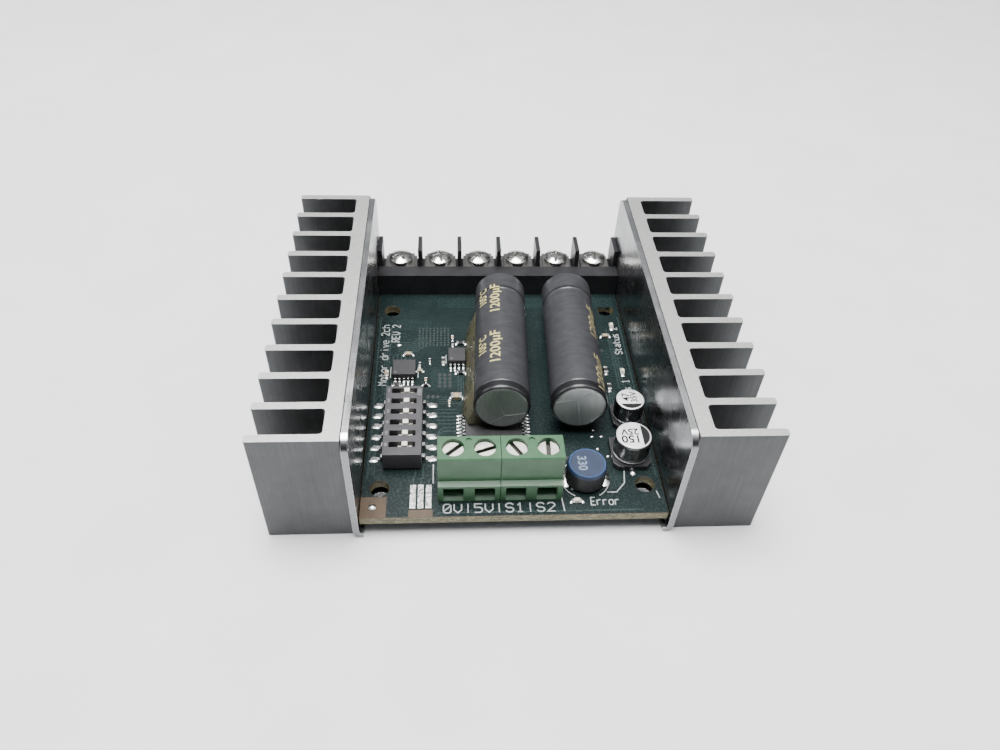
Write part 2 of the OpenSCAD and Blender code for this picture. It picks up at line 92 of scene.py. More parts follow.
def millimetres(tree, stretch=(1, 1, 1), source="Object"):
    """Texture coordinates in millimetres, stretched per axis; Generated stays from 0 to 1."""
    coord = tree.nodes.new("ShaderNodeTexCoord")
    unit = 1000.0 if source == "Object" else 1.0
    return vector_math(tree, "MULTIPLY", coord.outputs[source], [unit * s for s in stretch])


def noise(tree, vector, scale, detail=4.0, roughness=0.55):
    node = tree.nodes.new("ShaderNodeTexNoise")
    node.inputs["Scale"].default_value = scale
    node.inputs["Detail"].default_value = detail
    node.inputs["Roughness"].default_value = roughness
    tree.links.new(vector, node.inputs["Vector"])
    return node.outputs["Fac"]


def cells(tree, vector, scale, feature="F1"):
    node = tree.nodes.new("ShaderNodeTexVoronoi")
    node.feature = feature
    node.inputs["Scale"].default_value = scale
    tree.links.new(vector, node.inputs["Vector"])
    return node.outputs["Distance"]


def ramp(tree, value, stops):
    """A colour ramp; each stop is (position, grey or colour)."""
    node = tree.nodes.new("ShaderNodeValToRGB")
    points = node.color_ramp.elements
    while len(points) < len(stops):
        points.new(0.5)
    for point, (where, colour) in zip(points, stops):
        point.position = where
        colour = (colour,) * 3 if isinstance(colour, (int, float)) else colour
        point.color = (*colour, 1)
    tree.links.new(value, node.inputs["Fac"])
    return node.outputs["Color"]


def feed(tree, shader, slot, value, stops):
    """Drives one input of the shader from a value through a colour ramp."""
    tree.links.new(ramp(tree, value, stops), shader.inputs[slot])


def calc(tree, operation, a, b=None):
    node = tree.nodes.new("ShaderNodeMath")
    node.operation = operation
    for slot, value in enumerate((a, b)):
        if isinstance(value, (int, float)):
            node.inputs[slot].default_value = value
        elif value is not None:
            tree.links.new(value, node.inputs[slot])
    return node.outputs[0]


def blend_colour(tree, factor, a, b, mode="MIX"):
    node = tree.nodes.new("ShaderNodeMix")
    node.data_type = "RGBA"
    node.blend_type = mode
    for slot, value in (("Factor", factor), ("A", a), ("B", b)):
        sockets = [s for s in node.inputs if s.name == slot and s.enabled]
        if isinstance(value, (int, float)):
            sockets[0].default_value = value
        elif isinstance(value, tuple):
            sockets[0].default_value = (*value, 1)
        else:
            tree.links.new(value, sockets[0])
    return [s for s in node.outputs if s.enabled][0]


def bump(tree, shader, height, strength, distance, under=None):
    """Adds a bump in millimetres to a shader and returns its normal, for a further bump on top."""
    node = tree.nodes.new("ShaderNodeBump")
    node.inputs["Strength"].default_value = strength
    node.inputs["Distance"].default_value = distance * MM
    tree.links.new(height, node.inputs["Height"])
    if under is not None:
        tree.links.new(under, node.inputs["Normal"])
    tree.links.new(node.outputs[0], shader.inputs["Normal"])
    return node.outputs[0]


def facing_up(tree, low=0.6, high=0.9):
    """1 on faces that look up in the object's own frame and 0 on its sides."""
    normal = tree.nodes.new("ShaderNodeTexCoord").outputs["Normal"]
    return ramp(tree, part_of(tree, normal, "Z"), [(low, 0.0), (high, 1.0)])


def plastic(name, dark, light, rough=(0.35, 0.5), grain=3.0, relief=0.004, coat=0.0, dust=0.04):
    """Moulded plastic: slow mottling, fine moulded grain and a little dust."""
    mat, tree, shader = new_material(name)
    place = millimetres(tree)
    slow = noise(tree, place, 0.35, 5.0)
    fine = noise(tree, place, grain, 3.0, 0.6)
    colour = ramp(tree, slow, [(0.3, dark), (0.7, light)])
    specks = ramp(tree, cells(tree, place, 2.3), [(0.0, 1.0), (0.06, 0.0)])
    speck_mask = calc(tree, "MULTIPLY", specks,
                      calc(tree, "MULTIPLY", noise(tree, place, 0.8), dust * 4))
    pale = tuple(min(1.0, c * 1.3 + 0.25) for c in light)
    colour = blend_colour(tree, speck_mask, colour, pale)
    tree.links.new(colour, shader.inputs["Base Color"])
    feed(tree, shader, "Roughness", fine, [(0.3, rough[0]), (0.7, rough[1])])
    normal = bump(tree, shader, fine, 0.5, relief)
    bump(tree, shader, slow, 0.3, relief * 8, normal)
    shader.inputs["Coat Weight"].default_value = coat
    shader.inputs["Coat Roughness"].default_value = 0.15
    return mat


def metal(name, dark, light, rough=(0.2, 0.35), stretch=(1, 1, 1), grain=6.0, relief=0.003, spots=0.25):
    """Metal with grain along the axis whose stretch is small, slow tarnish and small scratches."""
    mat, tree, shader = new_material(name)
    lines = noise(tree, millimetres(tree, stretch), grain, 5.0, 0.65)
    place = millimetres(tree)
    slow = noise(tree, place, 0.22, 6.0, 0.6)
    scratch = cells(tree, millimetres(tree, (0.25, 1.0, 0.6)), 1.1, "DISTANCE_TO_EDGE")
    scratch = ramp(tree, scratch, [(0.0, 1.0), (0.012, 0.0)])
    mixed = calc(tree, "ADD", calc(tree, "MULTIPLY", lines, 1.0 - spots),
                 calc(tree, "MULTIPLY", slow, spots))
    feed(tree, shader, "Base Color", mixed, [(0.32, dark), (0.68, light)])
    feed(tree, shader, "Roughness", slow, [(0.3, rough[0]), (0.7, rough[1])])
    shader.inputs["Metallic"].default_value = 1.0
    normal = bump(tree, shader, lines, 0.5, relief)
    bump(tree, shader, scratch, 0.12, 0.004, normal)
    return mat


def extruded_aluminium():
    """Extruded sides with die lines along Z, their colour held very dark as painted shade for the dim
    surroundings they reflect, and a paler sawn face at the top.
    """
    mat, tree, shader = new_material("extruded_aluminium")
    place = millimetres(tree)
    die = noise(tree, millimetres(tree, (1, 1, 0.02)), 3.0, 6.0, 0.7)
    saw = noise(tree, millimetres(tree, (0.12, 1.0, 1.0)), 9.0, 5.0, 0.7)
    grit = noise(tree, place, 7.0, 4.0, 0.75)
    slow = noise(tree, place, 0.12, 6.0, 0.6)
    up = facing_up(tree)
    # painted shade: the sides' base colour is far darker than bare aluminium, standing in for the dim
    # surroundings they reflect; the top is the paler sawn face
    side = ramp(tree,
                calc(tree, "ADD", calc(tree, "MULTIPLY", die, 0.35),
                     calc(tree, "MULTIPLY", slow, 0.65)),
                [(0.34, (0.070, 0.072, 0.075)), (0.5, (0.092, 0.095, 0.098)), (0.66, (0.118, 0.121, 0.125))])
    sawn = ramp(tree,
                calc(tree, "ADD", calc(tree, "MULTIPLY", saw, 0.4), calc(tree, "MULTIPLY", grit, 0.6)),
                [(0.36, (0.36, 0.36, 0.35)), (0.5, (0.50, 0.50, 0.485)), (0.66, (0.68, 0.68, 0.66))])
    tree.links.new(blend_colour(tree, up, side, sawn), shader.inputs["Base Color"])
    rough = blend_colour(tree, up, ramp(tree, slow, [(0.3, 0.46), (0.7, 0.58)]),
                         ramp(tree, grit, [(0.3, 0.42), (0.7, 0.6)]))
    tree.links.new(rough, shader.inputs["Roughness"])
    shader.inputs["Metallic"].default_value = 1.0
    height = blend_colour(tree, up, die, calc(tree, "ADD", saw, grit))
    bump(tree, shader, height, 0.4, 0.01)
    return mat


def sheet_aluminium():
    """Rolled sheet with a soft shine, faint lines and scratches; its cut top edge is bright, partly the real
    cut metal and partly a painted highlight of the light it catches.
    """
    mat, tree, shader = new_material("sheet_aluminium")
    rolled = noise(tree, millimetres(tree, (1, 0.03, 1)), 3.0, 6.0, 0.7)
    place = millimetres(tree)
    slow = noise(tree, place, 0.15, 5.0)
    hair = cells(tree, millimetres(tree, (0.5, 0.12, 0.35)), 0.7, "DISTANCE_TO_EDGE")
    hair = ramp(tree, hair, [(0.0, 1.0), (0.006, 0.0)])
    up = facing_up(tree)
    wall = ramp(tree, rolled, [(0.35, (0.20, 0.205, 0.21)), (0.65, (0.265, 0.27, 0.28))])
    # partly painted highlight: the cut top edge is far paler than the walls, for the real cut face and for
    # the light it catches
    cut = ramp(tree, rolled, [(0.35, (0.60, 0.60, 0.60)), (0.65, (0.80, 0.80, 0.80))])
    tree.links.new(blend_colour(tree, up, wall, cut), shader.inputs["Base Color"])
    feed(tree, shader, "Roughness", slow, [(0.3, 0.20), (0.7, 0.32)])
    shader.inputs["Metallic"].default_value = 1.0
    normal = bump(tree, shader, rolled, 0.35, 0.0025)
    bump(tree, shader, hair, 0.1, 0.003, normal)
    return mat


def turned_metal(name, dark, light, rough, recess_shade=0.0):
    """Screw metal with turning rings; painted shade darkens all below that share of its height, for the
    shade round the screw inside the terminal block.
    """
    mat, tree, shader = new_material(name)
    centre = vector_math(tree, "SUBTRACT", millimetres(tree, source="Generated"), (0.5, 0.5, 0.0))
    flat = vector_math(tree, "MULTIPLY", centre, (1.0, 1.0, 0.0))
    radius = vector_math(tree, "LENGTH", flat, output="Value")
    place = millimetres(tree)
    patch = noise(tree, place, 1.4, 5.0, 0.65)
    rings = calc(tree, "SINE", calc(tree, "MULTIPLY", radius, 210.0))
    tone = calc(tree, "ADD", calc(tree, "MULTIPLY", rings, 0.06), patch)
    colour = ramp(tree, tone, [(0.35, dark), (0.65, light)])
    if recess_shade:
        # painted shade: below the given share of the height the colour is multiplied down to a tenth
        unshaded_share = ramp(tree, part_of(tree, centre, "Z"), [(recess_shade, 0.10), (recess_shade + 0.06, 1.0)])
        colour = blend_colour(tree, 1.0, colour, unshaded_share, "MULTIPLY")
    tree.links.new(colour, shader.inputs["Base Color"])
    feed(tree, shader, "Roughness", patch, [(0.3, rough[0]), (0.7, rough[1])])
    shader.inputs["Metallic"].default_value = 1.0
    normal = bump(tree, shader, rings, 0.25, 0.004)
    bump(tree, shader, noise(tree, place, 9.0, 3.0), 0.3, 0.006, normal)
    return mat


def solder_mask(name, dark, light, relief=0.01):
    """Glossy green solder mask over a woven glass laminate; the weave shows faintly through it."""
    mat, tree, shader = new_material(name)
    place = millimetres(tree)
    slow = noise(tree, place, 0.2, 6.0, 0.6)
    fine = noise(tree, place, 2.6, 3.0, 0.6)
    weave = []
    for axis in ((1, 0, 0), (0, 1, 0)):
        along = vector_math(tree, "DOT_PRODUCT", place, axis, "Value")
        weave.append(calc(tree, "SINE", calc(tree, "MULTIPLY", along, 12.0)))
    threads = calc(tree, "MULTIPLY", weave[0], weave[1])
    tone = calc(tree, "ADD", slow, calc(tree, "MULTIPLY", threads, 0.035))
    feed(tree, shader, "Base Color", tone, [(0.3, dark), (0.7, light)])
    feed(tree, shader, "Roughness", fine, [(0.3, 0.20), (0.7, 0.32)])
    normal = bump(tree, shader, threads, 0.12, 0.003)
    bump(tree, shader, fine, 0.2, relief * 0.5, normal)
    shader.inputs["Specular IOR Level"].default_value = 0.3
    return mat


def bare_laminate():
    """Bare woven laminate: brown-green with visible threads."""
    mat, tree, shader = new_material("bare_laminate")
    place = millimetres(tree)
    across = noise(tree, millimetres(tree, (1, 0.1, 1)), 7.0, 3.0)
    along = noise(tree, millimetres(tree, (0.1, 1, 1)), 7.0, 3.0)
    weave = calc(tree, "MAXIMUM", across, along)
    stain = noise(tree, place, 0.5, 5.0)
    tone = calc(tree, "ADD", calc(tree, "MULTIPLY", weave, 0.6), calc(tree, "MULTIPLY", stain, 0.4))
    feed(tree, shader, "Base Color", tone,
         [(0.4, (0.034, 0.018, 0.006)), (0.65, (0.075, 0.042, 0.015))])
    feed(tree, shader, "Roughness", weave, [(0.4, 0.4), (0.7, 0.6)])
    bump(tree, shader, weave, 0.4, 0.01)
    return mat


def board_material():
    """Solder mask on the board's faces and layered raw laminate on its cut edges."""
    mat = solder_mask("board_mask_green", (0.0065, 0.0125, 0.0125), (0.0105, 0.0190, 0.0185))
    tree = mat.node_tree
    shader = tree.nodes["Principled BSDF"]
    mask_colour = shader.inputs["Base Color"].links[0].from_socket
    normal = tree.nodes.new("ShaderNodeTexCoord").outputs["Normal"]
    face = ramp(tree, calc(tree, "ABSOLUTE", part_of(tree, normal, "Z")), [(0.7, 0.0), (0.9, 1.0)])
    layers = noise(tree, millimetres(tree, (0.15, 0.15, 1.0)), 6.0, 3.0, 0.6)
    edge = ramp(tree, layers,
                [(0.3, (0.045, 0.05, 0.022)), (0.55, (0.16, 0.14, 0.07)), (0.75, (0.34, 0.31, 0.2))])
    tree.links.new(blend_colour(tree, face, edge, mask_colour), shader.inputs["Base Color"])
    return mat


def solder():
    """Wetted tin solder: bright, with slow ripples and a little dull flux."""
    mat, tree, shader = new_material("solder")
    place = millimetres(tree)
    slow = noise(tree, place, 1.2, 4.0)
    fine = noise(tree, place, 5.0, 3.0)
    feed(tree, shader, "Base Color", fine, [(0.3, (0.62, 0.62, 0.60)), (0.7, (0.88, 0.88, 0.86))])
    feed(tree, shader, "Roughness", slow, [(0.35, 0.16), (0.65, 0.38)])
    shader.inputs["Metallic"].default_value = 1.0
    bump(tree, shader, slow, 0.35, 0.06)
    return mat


def ink(name, colour, wear=0.35):
    """Printed ink, thin in places."""
    mat, tree, shader = new_material(name)
    place = millimetres(tree)
    fade = noise(tree, place, 4.0, 5.0, 0.7)
    thin = tuple(c * (1 - wear) for c in colour)
    feed(tree, shader, "Base Color", fade, [(0.35, thin), (0.6, colour)])
    feed(tree, shader, "Roughness", fade, [(0.3, 0.5), (0.7, 0.7)])
    shader.inputs["Specular IOR Level"].default_value = 0.2
    bump(tree, shader, fade, 0.2, 0.004)
    return mat


def glue_material():
    mat, tree, shader = new_material("olive_glue")
    place = millimetres(tree)
    slow = noise(tree, place, 0.5, 5.0)
    pits = cells(tree, place, 1.6)
    feed(tree, shader, "Base Color", slow, [(0.3, (0.050, 0.047, 0.026)), (0.7, (0.105, 0.098, 0.056))])
    feed(tree, shader, "Roughness", slow, [(0.3, 0.22), (0.7, 0.42)])
    shader.inputs["Subsurface Weight"].default_value = 0.25
    shader.inputs["Subsurface Radius"].default_value = (0.8 * MM, 0.7 * MM, 0.3 * MM)
    normal = bump(tree, shader, slow, 0.5, 0.15)
    bump(tree, shader, pits, 0.2, 0.03, normal)
    return mat


def sleeve_material(side):
    """Glossy dark film with fine wrinkles; a darker band at the front end is painted shade, with a bumped
    ridge at its back edge.
    """
    mat, tree, shader = new_material(f"shrunk_sleeve_{side}")
    place = millimetres(tree)
    wrinkle = noise(tree, millimetres(tree, (0.5, 1.6, 0.5)), 0.8, 4.0)
    fine = noise(tree, place, 8.0, 2.0)
    to_board = capacitor_frame(side)
    axis = (to_board.to_3x3() @ Vector((0, 1, 0))).normalized()
    front = to_board @ Vector((0, -capacitor_length(), 0)) + on_board(0, 0, 0) / MM
    along = vector_math(tree, "DOT_PRODUCT", place, axis, "Value")
    distance = calc(tree, "SUBTRACT", along, front.dot(axis))
    reach = calc(tree, "DIVIDE", distance, 2 * SLEEVE_SHADE_BAND)
    # painted shade: over the sleeve's front band, about 2 mm deep, body is 0 and the colour goes near black;
    # the same step drives the ridge bump
    body = ramp(tree, reach, [(0.44, 0.0), (0.50, 1.0)])
    colour = ramp(tree, wrinkle, [(0.3, (0.026, 0.026, 0.029)), (0.7, (0.040, 0.040, 0.044))])
    colour = blend_colour(tree, body, (0.007, 0.007, 0.008), colour)
    tree.links.new(colour, shader.inputs["Base Color"])
    feed(tree, shader, "Roughness", fine, [(0.3, 0.28), (0.7, 0.40)])
    normal = bump(tree, shader, wrinkle, 0.25, 0.03)
    normal = bump(tree, shader, body, 0.6, 0.15, normal)
    bump(tree, shader, fine, 0.2, 0.004, normal)
    return mat


def lamp_lens():
    mat, tree, shader = new_material("lamp_lens")
    place = millimetres(tree)
    glow = noise(tree, place, 2.0, 3.0)
    feed(tree, shader, "Base Color", glow, [(0.3, (0.50, 0.47, 0.34)), (0.7, (0.70, 0.67, 0.54))])
    feed(tree, shader, "Roughness", glow, [(0.3, 0.15), (0.7, 0.25)])
    shader.inputs["Subsurface Weight"].default_value = 0.4
    shader.inputs["Subsurface Radius"].default_value = (0.5 * MM, 0.5 * MM, 0.4 * MM)
    return mat


def small_can():
    """Drawn can with a dark shining wall and a pale matt top."""
    mat, tree, shader = new_material("small_can_metal")
    place = millimetres(tree)
    slow = noise(tree, place, 0.6, 5.0)
    grain = noise(tree, millimetres(tree, (1, 1, 0.1)), 3.0, 4.0)
    up = facing_up(tree, 0.75, 0.92)
    wall = ramp(tree, grain, [(0.3, (0.16, 0.16, 0.165)), (0.7, (0.27, 0.27, 0.275))])
    top = ramp(tree, slow, [(0.3, (0.66, 0.66, 0.66)), (0.7, (0.78, 0.78, 0.78))])
    tree.links.new(blend_colour(tree, up, wall, top), shader.inputs["Base Color"])
    rough = blend_colour(tree, up, ramp(tree, slow, [(0.3, 0.24), (0.7, 0.34)]),
                         ramp(tree, slow, [(0.3, 0.45), (0.7, 0.58)]))
    tree.links.new(rough, shader.inputs["Roughness"])
    tree.links.new(calc(tree, "SUBTRACT", 1.0, calc(tree, "MULTIPLY", up, 0.5)),
                   shader.inputs["Metallic"])
    bump(tree, shader, grain, 0.3, 0.006)
    return mat


MATERIALS = {
    "extrusion": extruded_aluminium(),
    # painted highlight: the heat sinks' bevelled edges get a far paler metal than their sides
    "extrusion_edge_highlight": metal("edge_highlight_aluminium", (0.62, 0.63, 0.64), (0.86, 0.87, 0.88), (0.25, 0.4)),
    "sheet": sheet_aluminium(),
    # the channel's bevelled edges: real sheared metal, made paler as a painted highlight
    "sheet_edge": metal("sheared_edge_highlight_aluminium", (0.66, 0.67, 0.68), (0.9, 0.9, 0.91), (0.2, 0.35)),
    "bond": plastic("cured_bond", (0.02, 0.02, 0.02), (0.035, 0.034, 0.032), (0.6, 0.8)),
    "board": board_material(),
    "track": solder_mask("mask_over_track", (0.021, 0.034, 0.033), (0.029, 0.046, 0.044), 0.006),
    "copper": solder_mask("mask_over_copper", (0.009, 0.017, 0.017), (0.013, 0.024, 0.023), 0.006),
    "laminate": bare_laminate(),
    "solder": solder(),
    "hole": plastic("plated_hole_shadow", (0.006, 0.006, 0.006), (0.012, 0.011, 0.010), (0.5, 0.7)),
    "black": plastic("black_moulding", (0.010, 0.010, 0.011), (0.020, 0.020, 0.022), (0.32, 0.46), 4.0,
                     0.005),
    # painted highlight: a paler copy of the black moulding for the bevelled edges
    "black_edge_highlight": plastic("black_moulding_edge_highlight", (0.024, 0.024, 0.026), (0.045, 0.045, 0.048),
                          (0.35, 0.5)),
    "green": plastic("green_moulding", (0.030, 0.090, 0.040), (0.040, 0.112, 0.052), (0.34, 0.48), 3.5,
                     0.005),
    # painted highlight: a paler copy of the green moulding for the bevelled edges
    "green_edge_highlight": plastic("green_moulding_edge_highlight", (0.06, 0.15, 0.075), (0.085, 0.20, 0.10), (0.4, 0.55)),
    "switch": plastic("switch_moulding", (0.034, 0.032, 0.036), (0.050, 0.047, 0.053), (0.42, 0.58),
                      4.0, 0.006),
    "slider": plastic("slider_moulding", (0.66, 0.64, 0.55), (0.82, 0.80, 0.70), (0.35, 0.5), 5.0,
                      0.004),
    "chip": plastic("chip_moulding", (0.014, 0.013, 0.015), (0.024, 0.022, 0.025), (0.5, 0.68), 9.0,
                    0.010),
    "chip_mark": ink("chip_mark", (0.13, 0.13, 0.135)),
    "ferrite": plastic("ferrite", (0.010, 0.010, 0.012), (0.024, 0.023, 0.026), (0.4, 0.62), 7.0,
                       0.012),
    "blue": plastic("blue_cover", (0.010, 0.018, 0.044), (0.015, 0.029, 0.064), (0.34, 0.48), 4.0,
                    0.006, 0.2),
    "can": metal("drawn_aluminium", (0.44, 0.46, 0.445), (0.54, 0.56, 0.545), (0.44, 0.56), (1, 1, 0.2),
                 1.5),
    "can_bright": metal("bright_score", (0.62, 0.63, 0.63), (0.84, 0.85, 0.85), (0.25, 0.4),
                        (1, 0.3, 1), 2.0),
    "can_small": small_can(),
    "rubber": plastic("seal_rubber", (0.012, 0.012, 0.012), (0.022, 0.021, 0.020), (0.6, 0.8), 5.0,
                      0.01),
    "tin": metal("tinned_lead", (0.55, 0.55, 0.53), (0.80, 0.80, 0.78), (0.2, 0.36), (1, 1, 1), 4.0,
                 0.004),
    "nickel": turned_metal("nickel_screw", (0.50, 0.49, 0.465), (0.78, 0.77, 0.745), (0.12, 0.26)),
    # terminal screws: all below 0.92 of their height is darkened as painted shade
    "zinc": turned_metal("zinc_screw", (0.68, 0.66, 0.60), (0.82, 0.80, 0.73), (0.34, 0.48), 0.92),
    "plate": metal("plated_plate", (0.24, 0.235, 0.22), (0.34, 0.335, 0.32), (0.3, 0.42), (0.4, 1, 1),
                   2.0),
    "pad_silicone": plastic("silicone_pad", (0.30, 0.34, 0.38), (0.38, 0.42, 0.46), (0.7, 0.85), 5.0,
                            0.02),
    "ceramic": plastic("chip_ceramic", (0.24, 0.17, 0.10), (0.38, 0.29, 0.19), (0.4, 0.55), 8.0, 0.006),
    "resistor": plastic("chip_resistor", (0.012, 0.012, 0.013), (0.022, 0.022, 0.024), (0.3, 0.45), 8.0,
                        0.005),
    "silk": ink("white_silkscreen", (0.44, 0.46, 0.45)),
    "gold_ink": ink("gold_ink", (0.50, 0.44, 0.20), 0.2),
    "dull_gold": ink("dull_gold_ink", (0.24, 0.21, 0.11), 0.3),
    "black_ink": ink("black_ink", (0.008, 0.008, 0.009), 0.2),
    "pale_ink": ink("pale_ink", (0.24, 0.24, 0.25)),
    "pale_blue": ink("pale_blue_ink", (0.20, 0.24, 0.32)),
    "blue_rim": ink("blue_rim", (0.035, 0.068, 0.15)),
    "glue": glue_material(),
    "lens": lamp_lens(),
    "white": plastic("lamp_housing", (0.62, 0.62, 0.58), (0.78, 0.78, 0.74), (0.4, 0.55), 6.0, 0.004),
}


# ------------------------------------------------------- CAD nodes' finishes

HARD_EDGE = math.radians(35)


def dress(node, surface, edge=None, bevel=0.0, segments=2):
    """Gives a CAD node its material and, by modifiers, edges rounded by bevel millimetres."""
    obj = NODES[node]
    mesh = obj.data
    if "custom_normal" in mesh.attributes:
        mesh.attributes.remove(mesh.attributes["custom_normal"])
    mesh.materials.clear()
    mesh.materials.append(MATERIALS[surface])
    for face in mesh.polygons:
        face.material_index = 0
        face.use_smooth = True
    weld = obj.modifiers.new("Weld", "WELD")
    weld.merge_threshold = 1e-7
    if edge:
        mesh.materials.append(MATERIALS[edge])
    if bevel:
        rounder = obj.modifiers.new("Bevel", "BEVEL")
        rounder.width = bevel * MM
        rounder.segments = segments
        rounder.limit_method = "ANGLE"
        rounder.angle_limit = HARD_EDGE
        rounder.use_clamp_overlap = True
        rounder.harden_normals = True
        rounder.miter_outer = "MITER_ARC"
        # the bevel faces take the edge material: a paler painted highlight for the metal and moulded parts,
        # the real laminate for the board
        rounder.material = 1 if edge else -1
    else:
        split = obj.modifiers.new("Split", "EDGE_SPLIT")
        split.split_angle = HARD_EDGE


def dress_all():
    for side in ("left", "right"):
        dress(f"heat_sink_{side}", "extrusion", "extrusion_edge_highlight", 0.10)
        dress(f"terminal_block_{side}", "green", "green_edge_highlight", 0.10)
        dress(f"capacitor_can_{side}", "can")
        MATERIALS[f"sleeve_{side}"] = sleeve_material(side)
        dress(f"capacitor_sleeve_{side}", f"sleeve_{side}")
    dress("chassis_channel", "sheet", "sheet_edge", 0.10)
    dress("thermal_adhesive", "bond")
    dress("circuit_board", "board", "laminate", 0.05, 1)
    dress("power_transistors", "chip", None, 0.10)
    dress("transistor_tabs", "tin")
    dress("thermal_pad", "pad_silicone", None, 0.05)
    dress("barrier_housing", "black", "black_edge_highlight", 0.12)
    dress("barrier_contacts", "plate", None, 0.06)
    dress("terminal_contacts", "plate", None, 0.05)
    dress("dip_switch_body", "switch", None, 0.08)
    dress("dip_switch_leads", "tin", None, 0.03)
    dress("capacitor_seals", "rubber")
    dress("inductor_core", "ferrite", None, 0.2)
    dress("inductor_cover", "blue", None, 0.15, 3)
    dress("small_capacitor_cans", "can_small")
    dress("small_capacitor_bases", "black", "black_edge_highlight", 0.08)
    dress("microcontroller", "chip", None, 0.08)
    dress("driver_chips", "chip", None, 0.08)
    dress("chip_leads", "tin", None, 0.02, 1)
    for i in range(1, 7):
        dress(f"barrier_clamp_{i}", "plate", None, 0.06)
        dress(f"barrier_screw_{i}", "nickel", None, 0.06)
        dress(f"dip_slider_{i}", "slider", None, 0.08)
    for i in range(1, 5):
        dress(f"terminal_cage_{i}", "plate", None, 0.08)
        dress(f"terminal_screw_{i}", "zinc", None, 0.06)


# --------------------------------------------------------- building helpers

class Piece:
    """Collects shapes in board millimetres into one mesh with a few materials."""

    def __init__(self, name, surfaces, ready=None):
        """ready is a bmesh in board millimetres to start from, all in the first material."""
        self.name = name
        self.surfaces = surfaces
        self.bm = bmesh.new() if ready is None else ready
        for face in self.bm.faces:
            face.material_index = 0

    def tag(self, faces, surface, smooth):
        for face in faces:
            face.material_index = surface
            face.smooth = smooth

    def loop(self, x, y, z, r, sides):
        """A level circle of vertices."""
        angles = [2 * math.pi * k / sides for k in range(sides)]
        return [self.bm.verts.new((x + r * math.cos(a), y + r * math.sin(a), z)) for a in angles]

    def skin(self, rows):
        """Faces between closed rows of vertices; a row of one vertex is a tip."""
        faces = []
        for low, high in zip(rows, rows[1:]):
            for k, vert in enumerate(low):
                n = (k + 1) % len(low)
                upper = high if len(high) == 1 else (high[n], high[k])
                faces.append(self.bm.faces.new((vert, low[n], *upper)))
        return faces

    def box(self, x, y, z, w, d, h, surface=0, turn=0.0, round_by=0.0):
        """A box by its middle in X and Y and its base in Z, with edges rounded in the mesh."""
        made = bmesh.ops.create_cube(self.bm, size=1.0)["verts"]
        spin = Matrix.Rotation(math.radians(turn), 4, "Z")
        size = Matrix.Diagonal((w, d, h, 1))
        bmesh.ops.transform(self.bm, matrix=Matrix.Translation((x, y, z + h / 2)) @ spin @ size,
                            verts=made)
        faces = {face for vert in made for face in vert.link_faces}
        self.tag(faces, surface, False)
        if round_by:
            edges = list(dict.fromkeys(edge for vert in made for edge in vert.link_edges))
            done = bmesh.ops.bevel(self.bm, geom=edges, offset=round_by, segments=2, affect="EDGES",
                                   profile=0.6)
            self.tag(done["faces"], surface, True)

    def dome(self, x, y, z, rx, ry, h, surface=0, turn=0.0, power=2.0, square=2.0, rings=4, sides=16):
        """A low rounded heap; square above 2 makes its outline squarer."""
        spin = math.radians(turn)
        rows = []
        for i in range(rings + 1):
            t = 1 - i / rings
            row = []
            for k in range(sides):
                a = 2 * math.pi * k / sides
                c, s = math.cos(a), math.sin(a)
                reach = t / (abs(c) ** square + abs(s) ** square) ** (1 / square)
                u, v = rx * reach * c, ry * reach * s
                height = z + h * (1 - t ** power)
                row.append(self.bm.verts.new((x + u * math.cos(spin) - v * math.sin(spin),
                                              y + u * math.sin(spin) + v * math.cos(spin), height)))
                if t == 0:
                    break
            rows.append(row)
        self.tag(self.skin(rows), surface, True)

    def ring(self, x, y, z, inner, outer, h, surface=0, sides=20):
        """A flat ring with an outer wall down to the board."""
        profile = ((outer, 0.0), (outer * 0.97, h), (inner, h), (inner, 0.0))
        rows = [self.loop(x, y, z + height, r, sides) for r, height in profile]
        self.tag(self.skin(rows), surface, True)

    def disc(self, x, y, z, r, surface=0, sides=24, a0=0.0, a1=360.0, chord=False):
        """A flat disc, a sector of one, or with chord the segment that a straight cut leaves."""
        steps = range(sides + 1) if a1 - a0 < 360 else range(sides)
        angles = [math.radians(a0 + (a1 - a0) * k / sides) for k in steps]
        verts = [self.bm.verts.new((x + r * math.cos(a), y + r * math.sin(a), z)) for a in angles]
        if a1 - a0 < 360 and not chord:
            verts.append(self.bm.verts.new((x, y, z)))
        self.tag([self.bm.faces.new(verts)], surface, False)

    def path(self, points, width, z, h, surface=0):
        """A flat ribbon along a line of points, with mitred corners and thin sides."""
        line = [Vector((p[0], p[1])) for p in points]
        left, right = [], []
        for i, p in enumerate(line):
            before = (p - line[i - 1]).normalized() if i else (line[1] - p).normalized()
            after = (line[i + 1] - p).normalized() if i + 1 < len(line) else before
            along = (before + after).normalized()
            side = Vector((-along.y, along.x))
            reach = width / 2 / max(0.5, side.dot(Vector((-before.y, before.x))))
            left.append(p + side * reach)
            right.append(p - side * reach)
        faces = []
        top = [[self.bm.verts.new((q.x, q.y, z + h)) for q in row] for row in (left, right)]
        low = [[self.bm.verts.new((q.x, q.y, z)) for q in row] for row in (left, right)]
        for i in range(len(line) - 1):
            faces.append(self.bm.faces.new((top[0][i], top[1][i], top[1][i + 1], top[0][i + 1])))
            faces.append(self.bm.faces.new((low[0][i], top[0][i], top[0][i + 1], low[0][i + 1])))
            faces.append(self.bm.faces.new((top[1][i], low[1][i], low[1][i + 1], top[1][i + 1])))
        for i in (0, -1):
            faces.append(self.bm.faces.new((top[0][i], low[0][i], low[1][i], top[1][i])))
        self.tag(faces, surface, False)

